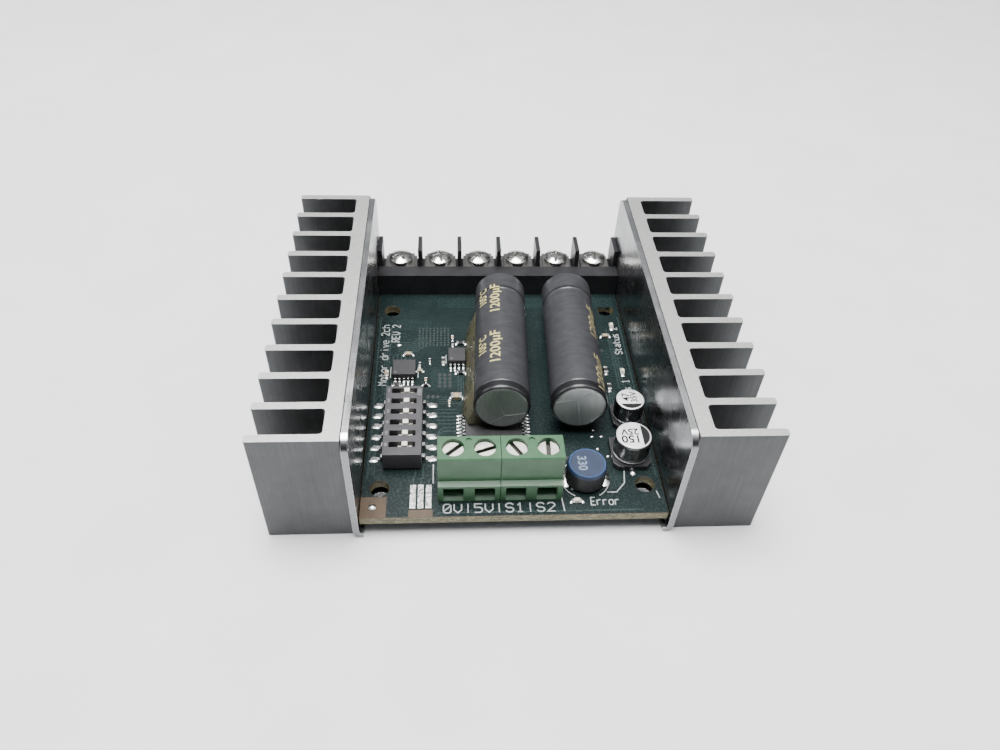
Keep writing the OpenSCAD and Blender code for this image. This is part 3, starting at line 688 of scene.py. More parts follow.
    def done(self, body=ROOT, replaces=()):
        """Turns the collected shapes into an object that rides on a body."""
        bmesh.ops.recalc_face_normals(self.bm, faces=self.bm.faces)
        mesh = bpy.data.meshes.new(self.name)
        self.bm.to_mesh(mesh)
        self.bm.free()
        base = on_board(0, 0, 0)
        mesh.transform(Matrix.Translation(base) @ Matrix.Diagonal((MM, MM, MM, 1)))
        for surface in self.surfaces:
            mesh.materials.append(MATERIALS[surface])
        obj = bpy.data.objects.new(self.name, mesh)
        bpy.context.scene.collection.objects.link(obj)
        if replaces:
            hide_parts(*replaces)
        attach(obj, body)
        return obj


def letters(text, size, thickness=0.012, width=None):
    """Generic lettering as a mesh in millimetres, centred and lying in XY, set to a width if given."""
    curve = bpy.data.curves.new("lettering", "FONT")
    curve.body = text
    curve.size = size
    curve.extrude = thickness
    curve.offset = 0.018 * size
    curve.align_x = "CENTER"
    curve.align_y = "CENTER"
    curve.resolution_u = 3
    obj = bpy.data.objects.new("lettering", curve)
    bpy.context.scene.collection.objects.link(obj)
    bpy.context.view_layer.update()
    shape = obj.evaluated_get(bpy.context.evaluated_depsgraph_get())
    mesh = bpy.data.meshes.new_from_object(shape)
    bpy.data.objects.remove(obj)
    bpy.data.curves.remove(curve)
    if width:
        natural = max(v.co.x for v in mesh.vertices) - min(v.co.x for v in mesh.vertices)
        mesh.transform(Matrix.Diagonal((width / natural, 1, 1, 1)))
    return mesh


def lettering(name, entries, surface, body=ROOT):
    """One object of flat lettering; each entry is (text, size, x, y, z, turn in degrees)."""
    bm = bmesh.new()
    for text, size, x, y, z, turn in entries:
        mesh = letters(text, size)
        mesh.transform(Matrix.Translation((x, y, z)) @ Matrix.Rotation(math.radians(turn), 4, "Z"))
        bm.from_mesh(mesh)
        bpy.data.meshes.remove(mesh)
    return Piece(name, [surface], bm).done(body)


# ------------------------------------------------------- the circuit board

SWITCH = board_box("dip_switch_body")
SWITCH_LEADS = board_box("dip_switch_leads")
MICRO = board_box("microcontroller")
SLIDER_Y = [middle(f"dip_slider_{i}")[1] for i in range(1, 7)]
MICRO_PINS = 11
PIN_PITCH = 0.8
PIN_OFFSETS = [(k - (MICRO_PINS - 1) / 2) * PIN_PITCH for k in range(MICRO_PINS)]
MICRO_PIN_Y = [middle("microcontroller")[1] + offset for offset in PIN_OFFSETS]
BUS_TRACKS, BUS_TOP, BUS_PITCH = 7, 23.7, 0.88
CAN_OUTLINE = [(19.2, 9.2), (18.8, 6.3), (17.2, 4.4), (15.6, 4.4)]
LOOSE_DOTS = [(15.0, 18.3), (14.7, 16.8), (16.35, 16.8), (15.3, 13.9), (16.9, 12.2), (15.7, 7.5)]
LONG_PADS = [-16.67, -15.4, -14.09]
LONG_PAD = (0.96, 4.78)
LONG_PAD_Y = 4.15
VIA_FIELDS = [(-12.4, 29.8, 3, 4, 0.95, 1.0), (-14.5, 27.0, 3, 1, 0.86, 1.0)]
STITCH_FIELD = (-16.5, 41.3, 9, 8, 0.72, 0.72)
# Driver chips: X, Y, body depth, pins a side, and the width and depth of their printed outline
DRIVERS = [(-19.1, 33.6, 4.0, 5, 5.2, 3.0), (-9.1, 37.1, 3.7, 4, 4.2, 2.6)]
SMALL_CANS = [(20.6, 12.2, 3.3), (21.5, 20.9, 2.8)]  # X, Y, half the base
BARRIER_PIN_Y, TERMINAL_PIN_Y = 61.2, 8.4
PIN_WIRE_R = 0.3
MICRO_PAD_OUT = 6.05  # from the microcontroller's middle to its pads
TRACK_H = 0.018
LEGEND_H = 0.02
# Lamps: X, Y and whether they lie along Y
LAMPS = [(10.3, 2.6, False), (22.8, 33.2, True), (22.7, 46.8, True)]

# Legend strokes on a grid of GLYPH_WIDTH by GLYPH_HEIGHT
TERMINAL_PITCH = 5.08
GLYPH_WIDTH, GLYPH_HEIGHT, GLYPH_GAP = 4.0, 6.0, 1.7
STROKES = {
    "0": [[(0, 1), (0, 5), (1, 6), (3, 6), (4, 5), (4, 1), (3, 0), (1, 0), (0, 1)], [(0, 1), (4, 5)]],
    "1": [[(0.6, 4.6), (2, 6), (2, 0)], [(0.6, 0), (3.4, 0)]],
    "2": [[(0, 5), (1, 6), (3, 6), (4, 5), (4, 4), (0, 0), (4, 0)]],
    "5": [[(4, 6), (0, 6), (0, 3.5), (3, 3.5), (4, 2.5), (4, 1), (3, 0), (0, 0)]],
    "E": [[(4, 6), (0, 6), (0, 0), (4, 0)], [(0, 3), (3, 3)]],
    "M": [[(0, 0), (0, 6), (2, 3.5), (4, 6), (4, 0)]],
    "R": [[(0, 0), (0, 6), (3, 6), (4, 5), (4, 4), (3, 3), (0, 3)], [(2, 3), (4, 0)]],
    "S": [[(4, 5), (3, 6), (1, 6), (0, 5), (0, 4), (1, 3), (3, 3), (4, 2), (4, 1), (3, 0), (1, 0),
           (0, 1)]],
    "V": [[(0, 6), (0, 2), (2, 0), (4, 2), (4, 6)]],
    "a": [[(0.5, 4), (3, 4), (4, 3), (4, 0), (1, 0), (0, 1), (1, 2), (4, 2)]],
    "c": [[(4, 4), (1, 4), (0, 3), (0, 1), (1, 0), (4, 0)]],
    "d": [[(4, 6), (4, 0), (1, 0), (0, 1), (0, 3), (1, 4), (4, 4)]],
    "e": [[(0, 2), (4, 2), (4, 3), (3, 4), (1, 4), (0, 3), (0, 1), (1, 0), (4, 0)]],
    "h": [[(0, 6), (0, 0)], [(0, 3), (1, 4), (3, 4), (4, 3), (4, 0)]],
    "i": [[(2, 4), (2, 0)], [(2, 5.4), (2, 6)]],
    "o": [[(1, 0), (0, 1), (0, 3), (1, 4), (3, 4), (4, 3), (4, 1), (3, 0), (1, 0)]],
    "r": [[(0, 4), (0, 0)], [(0, 2.6), (1.4, 4), (3.4, 4)]],
    "s": [[(4, 4), (1, 4), (0, 3), (1, 2), (3, 2), (4, 1), (3, 0), (0, 0)]],
    "t": [[(1, 6), (1, 1), (2, 0), (3.4, 0)], [(0, 4), (3.4, 4)]],
    "u": [[(0, 4), (0, 1), (1, 0), (4, 0), (4, 4)]],
    "v": [[(0, 4), (2, 0), (4, 4)]],
}


def board_tracks():
    """Copper under the mask: signal tracks, a few buses and the edges of the copper areas."""
    piece = Piece("board_tracks", ["track"])

    def track(width, *points):
        piece.path(points, width, 0, TRACK_H)

    pad_x = SWITCH_LEADS[1][0] + 0.4
    pin_x = MICRO[0][0] - 1.3
    for k in range(BUS_TRACKS):
        y = BUS_TOP - BUS_PITCH * k
        points = [(pad_x, y), (pin_x, y)]
        if k >= BUS_TRACKS - 2:
            points = [(pad_x + 0.2, y - 2.2), (pad_x + 0.5, y - 0.9), (pad_x + 1.2, y), (pin_x, y)]
        track(0.24, *points)
    for k, x in enumerate(LONG_PADS):
        bend = SWITCH[0][1] - 1.6 - 0.4 * k
        reach = x + (0.9 if k == 2 else 0.3)
        track(0.2, (x, 6.5), (x, bend), (reach, bend + abs(reach - x)), (reach, SWITCH[0][1] + 1))
    for k in range(5):
        x = -13.2 + 0.42 * k
        track(0.16, (x, 7.2), (x, 9.6 + 0.3 * k), (x + 1.1, 10.7 + 0.3 * k), (x + 1.1, 12.6 + 0.2 * k))
    for k in range(4):
        y = 25.2 + 0.55 * k
        track(0.18, (-12.6, y), (-8.9 - 0.5 * k, y), (-7.4 - 0.5 * k, y + 1.5),
              (-7.4 - 0.5 * k, 30 + k))
    for k in range(6):
        y = 39.6 + 0.5 * k
        track(0.16, (-20.6, y), (-16.8 - 0.2 * k, y), (-15.6 - 0.2 * k, y + 1.2), (-14.8, y + 1.2))
    for k in range(5):
        x = -21.4 + 0.8 * k
        track(0.18, (x, 36.2), (x, 38.2 + 0.3 * k), (x + 0.6, 38.8 + 0.3 * k))
    for k in range(3):
        x = -24.2 + 0.45 * k
        track(0.18, (x, 8.6), (x, 26.5 - k), (x + 1.2, 27.7 - k), (x + 1.2, 45 + k))
    for k in range(3):
        x = 23.9 - 0.5 * k
        track(0.2, (x, 9.2), (x, 29.6 - k), (x - 1.4, 31.0 - k), (x - 1.4, 42 + 2 * k))
    for k in range(4):
        x = 18.9 + 0.45 * k
        track(0.18, (x, 24.6), (x, 27.0 + 0.4 * k))
    margin = BOARD_HALF - 0.75
    for side in (-1, 1):
        track(0.28, (side * margin, 7.9), (side * margin, 49.6))
    track(0.28, (-12.6, 0.75), (margin - 3.2, 0.75))
    return piece.done()


def copper_areas():
    """Broad copper areas that lift the mask by a hair, leaving gaps between them."""
    piece = Piece("copper_areas", ["copper"])
    h = 0.01
    for x, y, w, d in ((5.6, 54.6, 37.0, 3.4), (8.2, 34.5, 1.9, 28.0), (20.9, 37.2, 5.0, 5.4),
                       (-18.6, 47.4, 9.0, 3.2),
                       (-10.9, 31.6, 6.2, 5.8), (17.2, 6.6, 2.1, 3.0), (-18.8, 28.1, 6.2, 0.8)):
        piece.box(x, y, 0, w, d, h, 0, 0, 0.004)
    return piece.done()


def vias():
    """Plated holes: dark discs of painted shade for the bores, with a pale rim of masked copper, and a
    stitched grid of tiny ones.
    """
    piece = Piece("vias", ["track", "hole"])
    spots = []
    for x, y, columns, rows, pitch_x, pitch_y in VIA_FIELDS:
        spots += [(x + i * pitch_x, y + j * pitch_y) for i in range(columns) for j in range(rows)]
    spots += [(17.0 + 0.9 * k, 39.4) for k in range(4)] + [(6.9 + 0.9 * k, 11.9) for k in range(4)]
    for x, y in spots:
        piece.ring(x, y, 0, 0.30, 0.40, 0.03, 0, 16)
        # painted shade: a dark disc lies over each bore
        piece.disc(x, y, 0.02, 0.31, 1, 16)
    small = [(-14.6, y + 0.95) for y in SLIDER_Y] + [(-14.6, y - 0.3) for y in SLIDER_Y] + [(-19.2,
                                                                                             5.3)]
    x, y, columns, rows, pitch_x, pitch_y = STITCH_FIELD
    small += [(x + i * pitch_x, y + j * pitch_y) for i in range(columns) for j in range(rows)]
    for x, y in small:
        piece.ring(x, y, 0, 0.12, 0.24, 0.026, 0, 12)
        piece.disc(x, y, 0.018, 0.13, 1, 12)
    return piece.done()


def bare_patch():
    """The corner and the strip under the long pads where the mask was left off, with its solder dot."""
    piece = Piece("bare_laminate_patch", ["laminate", "solder"])
    edge = -BOARD_HALF + 0.03
    piece.box(edge + 2.1, 2.1, 0, 4.2, 4.1, 0.014, 0, 0, 0.004)
    piece.box(-15.35, 0.75, 0, 3.9, 1.4, 0.014, 0, 0, 0.004)
    piece.dome(-23.18, 2.2, 0.01, 0.68, 0.62, 0.26, 1)
    return piece.done()


def solder_joints():
    """Pads and fillets of every soldered lead on the top face."""
    piece = Piece("solder_joints", ["solder"])
    random.seed(4)
    for y in SLIDER_Y:
        for x in (SWITCH_LEADS[0][0] + 0.25, SWITCH_LEADS[1][0] - 0.25):
            jitter = random.uniform(-0.06, 0.06)
            piece.dome(x, y + jitter, 0.0, 0.85, 0.62, 0.2, 0, random.uniform(-8, 8), 2.6, 3.2)
    for x in LONG_PADS:
        piece.box(x, LONG_PAD_Y, 0, *LONG_PAD, 0.05, 0, 0, 0.02)
    cx, cy, _ = middle("microcontroller")
    for side in (-1, 1):
        for y in MICRO_PIN_Y:
            piece.dome(cx + side * MICRO_PAD_OUT, y, 0, 0.55, 0.2, 0.09, 0, 0, 2.4, 3.0, 3, 12)
    for offset in PIN_OFFSETS:
        x = cx + offset
        for side in (-1, 1):
            piece.dome(x, cy + side * MICRO_PAD_OUT, 0, 0.2, 0.55, 0.09, 0, 0, 2.4, 3.0, 3, 12)
    for x, y, depth, pins, *_ in DRIVERS:
        for k in range(pins):
            for side in (-1, 1):
                px = x + (k - (pins - 1) / 2) * PIN_PITCH
                piece.dome(px, y + side * (depth / 2 + 1.0), 0, 0.22, 0.5, 0.1, 0, 0, 2.4, 3.0, 3, 12)
    core = middle("inductor_core")
    for side in (-1, 1):
        piece.dome(core[0] + side * 3.2, core[1], 0, 1.1, 1.7, 0.45, 0, 0, 2.0, 2.6)
    piece.dome(9.83, 5.33, 0, 0.34, 0.32, 0.18, 0, 25, 2.0, 2.4)
    for x, y in LOOSE_DOTS:
        piece.dome(x, y, 0, 0.32, 0.28, 0.12, 0, 0, 2.0, 2.4)
    for x, y, half in SMALL_CANS:
        for side in (-1, 1):
            piece.dome(x, y + side * (half + 0.35), 0, 0.5, 0.75, 0.28, 0, 0, 2.0, 2.6)
    piece.dome(-20.4, 41.5, 0, 0.5, 0.4, 0.12)
    return piece.done()


def pin_joints():
    """Cones of solder round the pins, above and below the board."""
    piece = Piece("pin_joints", ["solder"])
    under = -BOARD_T - 0.02
    terminals = [(middle(f"barrier_screw_{i}")[0], BARRIER_PIN_Y, 1.15) for i in range(1, 7)]
    terminals += [(middle(f"terminal_screw_{i}")[0], TERMINAL_PIN_Y, 0.95) for i in range(1, 5)]
    for x, y, r in terminals:
        cone(piece, x, y, under, r, -0.85)
    for x, y in capacitor_lead_spots():
        cone(piece, x, y, under, 0.8, -0.75)
        cone(piece, x, y, 0.0, 0.85, 0.7)
    return piece.done()


def cone(piece, x, y, z, r, h, sides=18):
    """A concave fillet from a pad to a pin; a negative h points down."""
    rows = []
    steps = 5
    for i in range(steps + 1):
        t = i / steps
        radius = PIN_WIRE_R + (r - PIN_WIRE_R) * (1 - t) ** 2.2
        rows.append(piece.loop(x, y, z + h * t, radius, sides))
    faces = [piece.bm.faces.new(rows[-1]), piece.bm.faces.new(rows[0])]
    piece.tag(faces + piece.skin(rows), 0, True)


def stroke_text(piece, text, start, end, height, line=0.17):
    """Constant-width stroke lettering on a baseline from start to end."""
    first, last = Vector(start), Vector(end)
    along = (last - first) / (len(text) * (GLYPH_WIDTH + GLYPH_GAP) - GLYPH_GAP)
    across = Vector((-along.y, along.x)).normalized() * height / GLYPH_HEIGHT
    for place, letter in enumerate(text):
        corner = first + along * place * (GLYPH_WIDTH + GLYPH_GAP)
        for stroke in STROKES.get(letter, ()):
            piece.path([corner + along * u + across * v for u, v in stroke], line, 0, LEGEND_H)


def silkscreen():
    """White legend: generic names, outlines and tick marks."""
    first = middle("terminal_screw_1")[0]
    piece = Piece("silkscreen_names", ["silk"])
    for k, name in enumerate(("0V", "5V", "S1", "S2")):
        x = first + TERMINAL_PITCH * k
        stroke_text(piece, name, (x - 1.64, 0.75), (x + 1.31, 0.75), 1.7, 0.2)
    stroke_text(piece, "Error", (12.6, 1.8), (17.3, 1.8), 1.55)
    stroke_text(piece, "Status 1", (23.7, 23.0), (23.7, 31.0), 1.35)
    stroke_text(piece, "Status 2", (23.7, 38.35), (23.7, 46.4), 1.35)
    stroke_text(piece, "Motor drive 2ch", (-22.35, 30.1), (-22.55, 47.4), 1.5)
    stroke_text(piece, "REV 2", (-20.4, 42.3), (-20.4, 47.4), 1.5)
    piece.done()
    piece = Piece("silkscreen_lines", ["silk"])

    def line(width, *points):
        piece.path(points, width, 0, LEGEND_H)

    for k in range(3):
        x = first + TERMINAL_PITCH * k + 2.35
        line(0.18, (x, 0.7), (x, 2.5))
    last = first + TERMINAL_PITCH * 3 + 2.5
    line(0.18, (last, 4.4), (last + 0.35, 0.7))
    line(0.18, (-13.38, 6.8), (-13.38, 10.9))
    core = middle("inductor_core")
    for a in range(-60, 240, 20):
        p = [(core[0] + 4.1 * math.cos(math.radians(a + d)),
              core[1] + 4.1 * math.sin(math.radians(a + d)))
             for d in (0, 10, 20)]
        line(0.14, *p)
    line(0.14, (23.9, 4.5), (24.2, 3.0))
    line(0.16, *CAN_OUTLINE)
    for x, y, *_, w, d in DRIVERS:
        for side in (-1, 1):
            line(0.14, (x + side * w / 2, y - d / 2), (x + side * w / 2, y + d / 2))
    return piece.done()


def passives():
    """Chip resistors and capacitors with metal ends, in the places of the plain CAD blocks."""
    piece = Piece("chip_parts", ["ceramic", "resistor", "tin"])
    mesh = NODES["chip_passives"].data
    base = on_board(0, 0, 0)
    for block, (low, high) in enumerate(separate_boxes(mesh)):
        x, y = ((low[k] + high[k]) / 2 / MM - base[k] / MM for k in (0, 1))
        w, d, h = ((b - a) / MM for a, b in zip(low, high))
        z = low[2] / MM - base[2] / MM
        along = w >= d
        length, width = (w, d) if along else (d, w)
        turn = 0 if along else 90
        resistor = 1 if h < 0.6 and block % 3 else 0
        cap = length * 0.24
        piece.box(x, y, z + 0.03, length - 2 * cap + 0.06, width * 0.94, h * 0.93, resistor, turn, 0.03)
        for side in (-1, 1):
            off = side * (length - cap) / 2
            px, py = (x + off, y) if along else (x, y + off)
            piece.box(px, py, z, cap, width, h, 2, turn, 0.06)
            reach = side * (length / 2 + 0.12)
            fx, fy = (x + reach, y) if along else (x, y + reach)
            piece.dome(fx, fy, -0.02, 0.34, width * 0.55, h * 0.45, 2, turn, 1.6, 3.0, 3, 14)
    return piece.done(ROOT, ["chip_passives"])


def separate_boxes(mesh):
    """The box of each loose part of a mesh whose parts stand apart, in reading order."""
    bm = bmesh.new()
    bm.from_mesh(mesh)
    bmesh.ops.remove_doubles(bm, verts=bm.verts, dist=1e-7)
    left = set(bm.verts)
    boxes = []
    while left:
        stack = [left.pop()]
        part = list(stack)
        while stack:
            for edge in stack.pop().link_edges:
                for vert in edge.verts:
                    if vert in left:
                        left.remove(vert)
                        stack.append(vert)
                        part.append(vert)
        corners = [[pick(v.co[k] for v in part) for k in range(3)] for pick in (min, max)]
        boxes.append(corners)
    bm.free()
    return sorted(boxes)


def lamps():
    """Indicator lamps: white housing, clear lens and tinned ends."""
    piece = Piece("lamps", ["white", "lens", "tin"])
    for x, y, turned in LAMPS:
        turn = 90 if turned else 0
        piece.box(x, y, 0.03, 1.1, 0.78, 0.3, 0, turn, 0.03)
        piece.box(x, y, 0.32, 0.95, 0.72, 0.34, 1, turn, 0.12)
        for side in (-1, 1):
            end = Matrix.Rotation(math.radians(turn), 2) @ Vector((side, 0))
            piece.box(x + 0.66 * end.x, y + 0.66 * end.y, 0.02, 0.28, 0.78, 0.24, 2, turn, 0.05)
            piece.dome(x + 0.95 * end.x, y + 0.95 * end.y, -0.01, 0.35, 0.42, 0.16, 2, turn, 1.8, 3.0,
                       3, 14)
    return piece.done(ROOT, ["indicator_lamps"])


# ------------------------------------------------------ large capacitors

CAP_YAW = 2.4
CAP_PITCH = 2.4
LEAD_GAP = 2.5
LEAD_REACH = 2.2
# half the depth scale of the sleeve's front band of painted shade, in mm
SLEEVE_SHADE_BAND = 2.1


def capacitor_frame(side):
    """Matrix in board millimetres: the origin is the sealed end and the front lies along -Y."""
    low, high = board_box(f"capacitor_can_{side}")
    turn = Euler((math.radians(-CAP_PITCH), 0, 0)).to_matrix().to_4x4()
    turn = Euler((0, 0, math.radians(-CAP_YAW))).to_matrix().to_4x4() @ turn
    centre = Vector([(a + b) / 2 for a, b in zip(low, high)])
    return Matrix.Translation(centre) @ turn @ Matrix.Translation((0, capacitor_length() / 2, 0))


def capacitor_length():
    """Length along the axis, from the box of the tilted can."""
    low, high = board_box("capacitor_can_left")
    depth = high[1] - low[1]
    width = high[0] - low[0]
    yaw = math.radians(CAP_YAW)
    return (depth * math.cos(yaw) - width * math.sin(yaw)) / math.cos(2 * yaw)


def capacitor_lead_spots():
    spots = []
    for side in ("left", "right"):
        for s in (-1, 1):
            spots.append((capacitor_frame(side) @ Vector((s * LEAD_GAP, LEAD_REACH, 0)))[:2])
    return spots


def tube(piece, points, radius, surface=0, sides=14):
    """A round wire through points, closed at both ends."""
    rows = []
    for i, p in enumerate(points):
        ahead = points[min(i + 1, len(points) - 1)] - points[max(i - 1, 0)]
        ahead.normalize()
        u = ahead.orthogonal().normalized() if i == 0 else (u - ahead * u.dot(ahead)).normalized()
        v = ahead.cross(u)
        rows.append([piece.bm.verts.new(p + radius * (math.cos(2 * math.pi * k / sides) * u +
                                                      math.sin(2 * math.pi * k / sides) * v))
                     for k in range(sides)])
    faces = [piece.bm.faces.new(rows[0]), piece.bm.faces.new(rows[-1])]
    piece.tag(faces + piece.skin(rows), surface, True)


def capacitor_leads():
    """Bent wires from the seals down through the board."""
    piece = Piece("capacitor_wires", ["tin"])
    bend = 0.9
    for side in ("left", "right"):
        to_board = capacitor_frame(side)
        for s in (-1, 1):
            corner = to_board @ Vector((s * LEAD_GAP, LEAD_REACH, 0))
            start = to_board @ Vector((s * LEAD_GAP, -3.5, 0))
            back = (start - corner).normalized()
            points = [start, corner + back * bend]
            for k in range(1, 8):
                a = math.radians(90 * k / 8)
                inward = back * bend * (1 - math.sin(a))
                drop = Vector((0, 0, bend * (1 - math.cos(a))))
                points.append(corner + inward - drop)
            points.append(corner - Vector((0, 0, bend)))
            points.append(Vector((corner.x, corner.y, -BOARD_T - 0.95)))
            tube(piece, points, 0.29)
    return piece.done(ROOT, ["capacitor_leads"])


def wrapped_print(side, name, entries, radius, surface):
    """Lettering round a sleeve; each entry is (text, size, width, distance from the front, angle)."""
    length = capacitor_length()
    bm = bmesh.new()
    for text, size, width, along, angle in entries:
        mesh = letters(text, size, 0.0, width)
        part = bmesh.new()
        part.from_mesh(mesh)
        bpy.data.meshes.remove(mesh)
        step = size / 8
        cuts = int(size / step) + 2
        for k in range(-cuts, cuts + 1):
            geometry = part.verts[:] + part.edges[:] + part.faces[:]
            bmesh.ops.bisect_plane(part, geom=geometry, plane_co=(0, k * step, 0), plane_no=(0, 1, 0))
        for vert in part.verts:
            a = math.radians(angle) - vert.co.y / radius
            vert.co = Vector((radius * math.sin(a), -length + along + vert.co.x, radius * math.cos(a)))
        flat = bpy.data.meshes.new("wrapped")
        part.to_mesh(flat)
        part.free()
        bm.from_mesh(flat)
        bpy.data.meshes.remove(flat)
    bm.transform(capacitor_frame(side))
    obj = Piece(name, [surface], bm).done()
    thick = obj.modifiers.new("Thick", "SOLIDIFY")
    thick.thickness = 0.012 * MM
    thick.offset = 0
    return obj


def capacitor_prints():
    radius = 4.985
    repeat = 14.5
    left, right = [], []
    for row in (0, 1):
        left += [("105°C", 2.5, 4.8, 12.5 + repeat * row, -44),
                 ("1200µF", 2.7, 8.6, 11.0 + repeat * row, -14)]
        right += [("1200µF", 2.6, 9.0, 5.3 + repeat * row, 48)]
    wrapped_print("left", "print_left", left, radius, "gold_ink")
    wrapped_print("right", "print_right", right, radius, "dull_gold")


def glue_fillet():
    """Uneven bead of glue between the left capacitor and the board, tapering towards both ends."""
    random.seed(11)
    piece = Piece("glue_fillet", ["glue"])
    to_board = capacitor_frame("left")
    length = capacitor_length()
    stations = 46
    ring_points = 12
    rows = []
    for i in range(stations + 1):
        t = i / stations
        y = -4.0 - (length - 5.2) * t
        wave = 0.16 * math.sin(9 * t + 0.4) + 0.09 * math.sin(23 * t) + random.uniform(-0.03, 0.03)
        ends = min(1.0, 6 * t + 0.25, 7 * (1 - t) + 0.3)
        centre = to_board @ Vector((0, y, 0))
        floor = 0.0 if centre.y > MICRO[1][1] + 0.9 else MICRO[1][2] + 0.02
        out = (6.35 + wave * 0.8) * ends + 5.0 * (1 - ends)
        row = []
        for k in range(ring_points + 1):
            f = k / ring_points
            angle = math.radians(-62 - 44 * ends * f)
            toe = Vector((centre.x - out - 0.35, centre.y, floor))
            crown = centre + Vector((4.9 * math.sin(angle), 0, -4.9 * math.cos(angle)))
            middle_point = Vector((centre.x - out, centre.y, floor + (centre.z - floor) * 0.55))
            point = toe * (1 - f) ** 2 + middle_point * 2 * f * (1 - f) + crown * f ** 2
            row.append(piece.bm.verts.new(point))
        inner = centre + Vector((-2.4, 0, 0))
        inner.z = floor + 0.02
        row.append(piece.bm.verts.new(inner))
        rows.append(row)
    faces = piece.skin(rows)
    faces += [piece.bm.faces.new(rows[0]), piece.bm.faces.new(rows[-1])]
    piece.tag(faces, 0, True)
    return piece.done(ROOT, ["glue_bead"])


# --------------------------------------------------------- small markings

def part_marks():
    """Polarity segments, generic values, switch numbers and pin-one dots."""
    cans = separate_boxes(NODES["small_capacitor_cans"].data)
    base = on_board(0, 0, 0)
    marks = Piece("polarity_marks", ["black_ink", "chip_mark", "blue_rim"])
    values = []
    segment = 118
    for (low, high), lines, towards in zip(cans, (("150", "25V"), ("47", "35V")), (0, -90)):
        x, y = ((low[k] + high[k]) / 2 / MM - base[k] / MM for k in (0, 1))
        r = (high[0] - low[0]) / 2 / MM
        z = (high[2] - base[2]) / MM + 0.012
        start = towards - segment / 2
        marks.disc(x, y, z, r - 0.42, 0, 24, start, start + segment, True)
        away = Matrix.Rotation(math.radians(towards), 2) @ Vector((-1, 0))
        turn = towards + 180
        down = Matrix.Rotation(math.radians(turn), 2) @ Vector((0, -1))
        for text, size, step in zip(lines, (0.72, 0.6), (-0.26, 0.26)):
            spot = Vector((x, y)) + away * 0.18 * r + down * step * r
            values.append((text, r * size, spot.x, spot.y, z, turn))
    x, y, _ = middle("microcontroller")
    marks.disc(x - 4.0, y + 4.0, MICRO[1][2] + 0.01, 0.4, 1)
    for node_low, node_high in separate_boxes(NODES["driver_chips"].data):
        cx = node_low[0] / MM - base[0] / MM + 0.6
        cy = node_low[1] / MM - base[1] / MM + 0.6
        marks.disc(cx, cy, (node_high[2] - base[2]) / MM + 0.01, 0.22, 1)
    cover_low, cover_high = board_box("inductor_cover")
    core = middle("inductor_cover")
    rim = (cover_high[0] - cover_low[0]) / 2
    marks.ring(core[0], core[1], cover_high[2], rim - 0.55, rim - 0.25, 0.012, 2, 48)
    marks.done()
    lettering("can_values", values, "black_ink")
    lettering("inductor_value", [("330", 2.1, core[0] - 0.9, core[1], cover_high[2] + 0.012, -90)],
              "pale_blue")
    top = SWITCH[1][2] + 0.01
    numbers = [(str(i + 1), 1.05, SWITCH[0][0] + 0.55, y, top, 0) for i, y in enumerate(SLIDER_Y)]
    numbers.append(("ON", 1.0, SWITCH[1][0] - 0.5, SWITCH[1][1] - 1.6, top, 90))
    lettering("switch_numbers", numbers, "pale_ink")


VENT_SCORES = {"left": ((0.58, -1.86), ((12.5, 3.8), (114, 6.1), (215, 3.1))),
               "right": ((-0.54, 1.92), ((31, 2.9), (194, 3.8), (280, 6.1)))}


def vent_scores():
    """Bright stamped scores on the front ends of the large capacitors."""
    for side, (junction, scores) in VENT_SCORES.items():
        piece = Piece(f"vent_scores_{side}", ["can_bright"])
        front = capacitor_frame(side) @ Matrix.Translation((junction[0], -capacitor_length() + 0.02,
                                                            junction[1]))
        for angle, reach in scores:
            spin = Matrix.Rotation(math.radians(-angle), 4, "Y")
            shape = Matrix.Translation((reach / 2, 0, 0)) @ Matrix.Diagonal((reach, 0.05, 0.15, 1))
            made = bmesh.ops.create_cube(piece.bm, size=1.0)["verts"]
            bmesh.ops.transform(piece.bm, matrix=front @ spin @ shape, verts=made)
            piece.tag({f for v in made for f in v.link_faces}, 0, False)
        piece.done()


# ------------------------------------------------------------- the studio

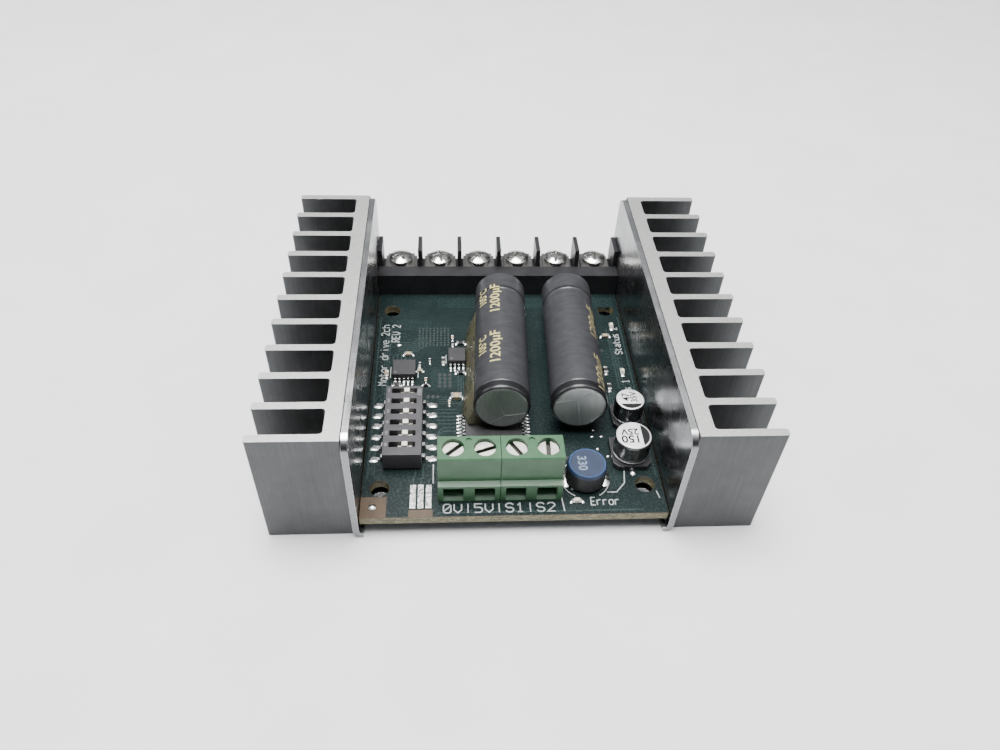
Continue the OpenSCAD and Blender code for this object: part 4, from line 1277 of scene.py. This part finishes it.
def studio():
    """Pale floor, soft lights, and surroundings that are bright above and behind and dim in front."""
    bm = bmesh.new()
    bmesh.ops.create_grid(bm, x_segments=8, y_segments=8, size=1.5)
    mesh = bpy.data.meshes.new("floor")
    bm.to_mesh(mesh)
    bm.free()
    floor = bpy.data.objects.new("floor", mesh)
    bpy.context.scene.collection.objects.link(floor)
    mat, tree, shader = new_material("floor_paint")
    tree.links.new(ramp(tree, noise(tree, millimetres(tree), 0.05), [(0.3, 0.70), (0.7, 0.75)]),
                   shader.inputs["Base Color"])
    shader.inputs["Roughness"].default_value = 0.7
    mesh.materials.append(mat)
    world = bpy.data.worlds.new("studio")
    world.use_nodes = True
    tree = world.node_tree
    way = tree.nodes.new("ShaderNodeTexCoord").outputs["Generated"]
    tone = calc(tree, "ADD", calc(tree, "MULTIPLY", part_of(tree, way, "Z"), 0.5),
                calc(tree, "MULTIPLY", part_of(tree, way, "Y"), 0.1))
    tone = calc(tree, "ADD", tone, 0.4)
    sky = ramp(tree, tone,
               [(0.3, (0.08, 0.085, 0.09)), (0.55, (0.20, 0.21, 0.22)), (0.92, (0.80, 0.83, 0.88))])
    tree.links.new(sky, tree.nodes["Background"].inputs["Color"])
    tree.nodes["Background"].inputs["Strength"].default_value = 0.55
    bpy.context.scene.world = world
    lamp("key", (-0.05, 0.03, 0.60), 0.40, 12.0)
    lamp("fill", (0.42, -0.05, 0.42), 0.35, 1.2)
    lamp("side", (-0.50, 0.05, 0.30), 0.30, 1.4)


def lamp(name, where, size, power):
    """A square soft light aimed at the middle of the board."""
    data = bpy.data.lights.new(name, "AREA")
    data.size = size
    data.energy = power
    obj = bpy.data.objects.new(name, data)
    obj.location = where
    aim = Vector((0, 0, 0.01)) - Vector(where)
    obj.rotation_euler = aim.to_track_quat("-Z", "Y").to_euler()
    bpy.context.scene.collection.objects.link(obj)


def camera():
    data = bpy.data.cameras.new("camera")
    data.lens = 28.42
    data.sensor_width = 36.0
    data.clip_start = 0.005
    obj = bpy.data.objects.new("camera", data)
    obj.location = on_board(-10.38, -75.51, 104.74)
    obj.rotation_euler = [math.radians(a) for a in (45.99, -2.19, -2.89)]
    bpy.context.scene.collection.objects.link(obj)
    bpy.context.scene.camera = obj


dress_all()
board_tracks()
copper_areas()
vias()
bare_patch()
solder_joints()
pin_joints()
silkscreen()
passives()
lamps()
capacitor_leads()
capacitor_prints()
vent_scores()
glue_fillet()
part_marks()
studio()
camera()
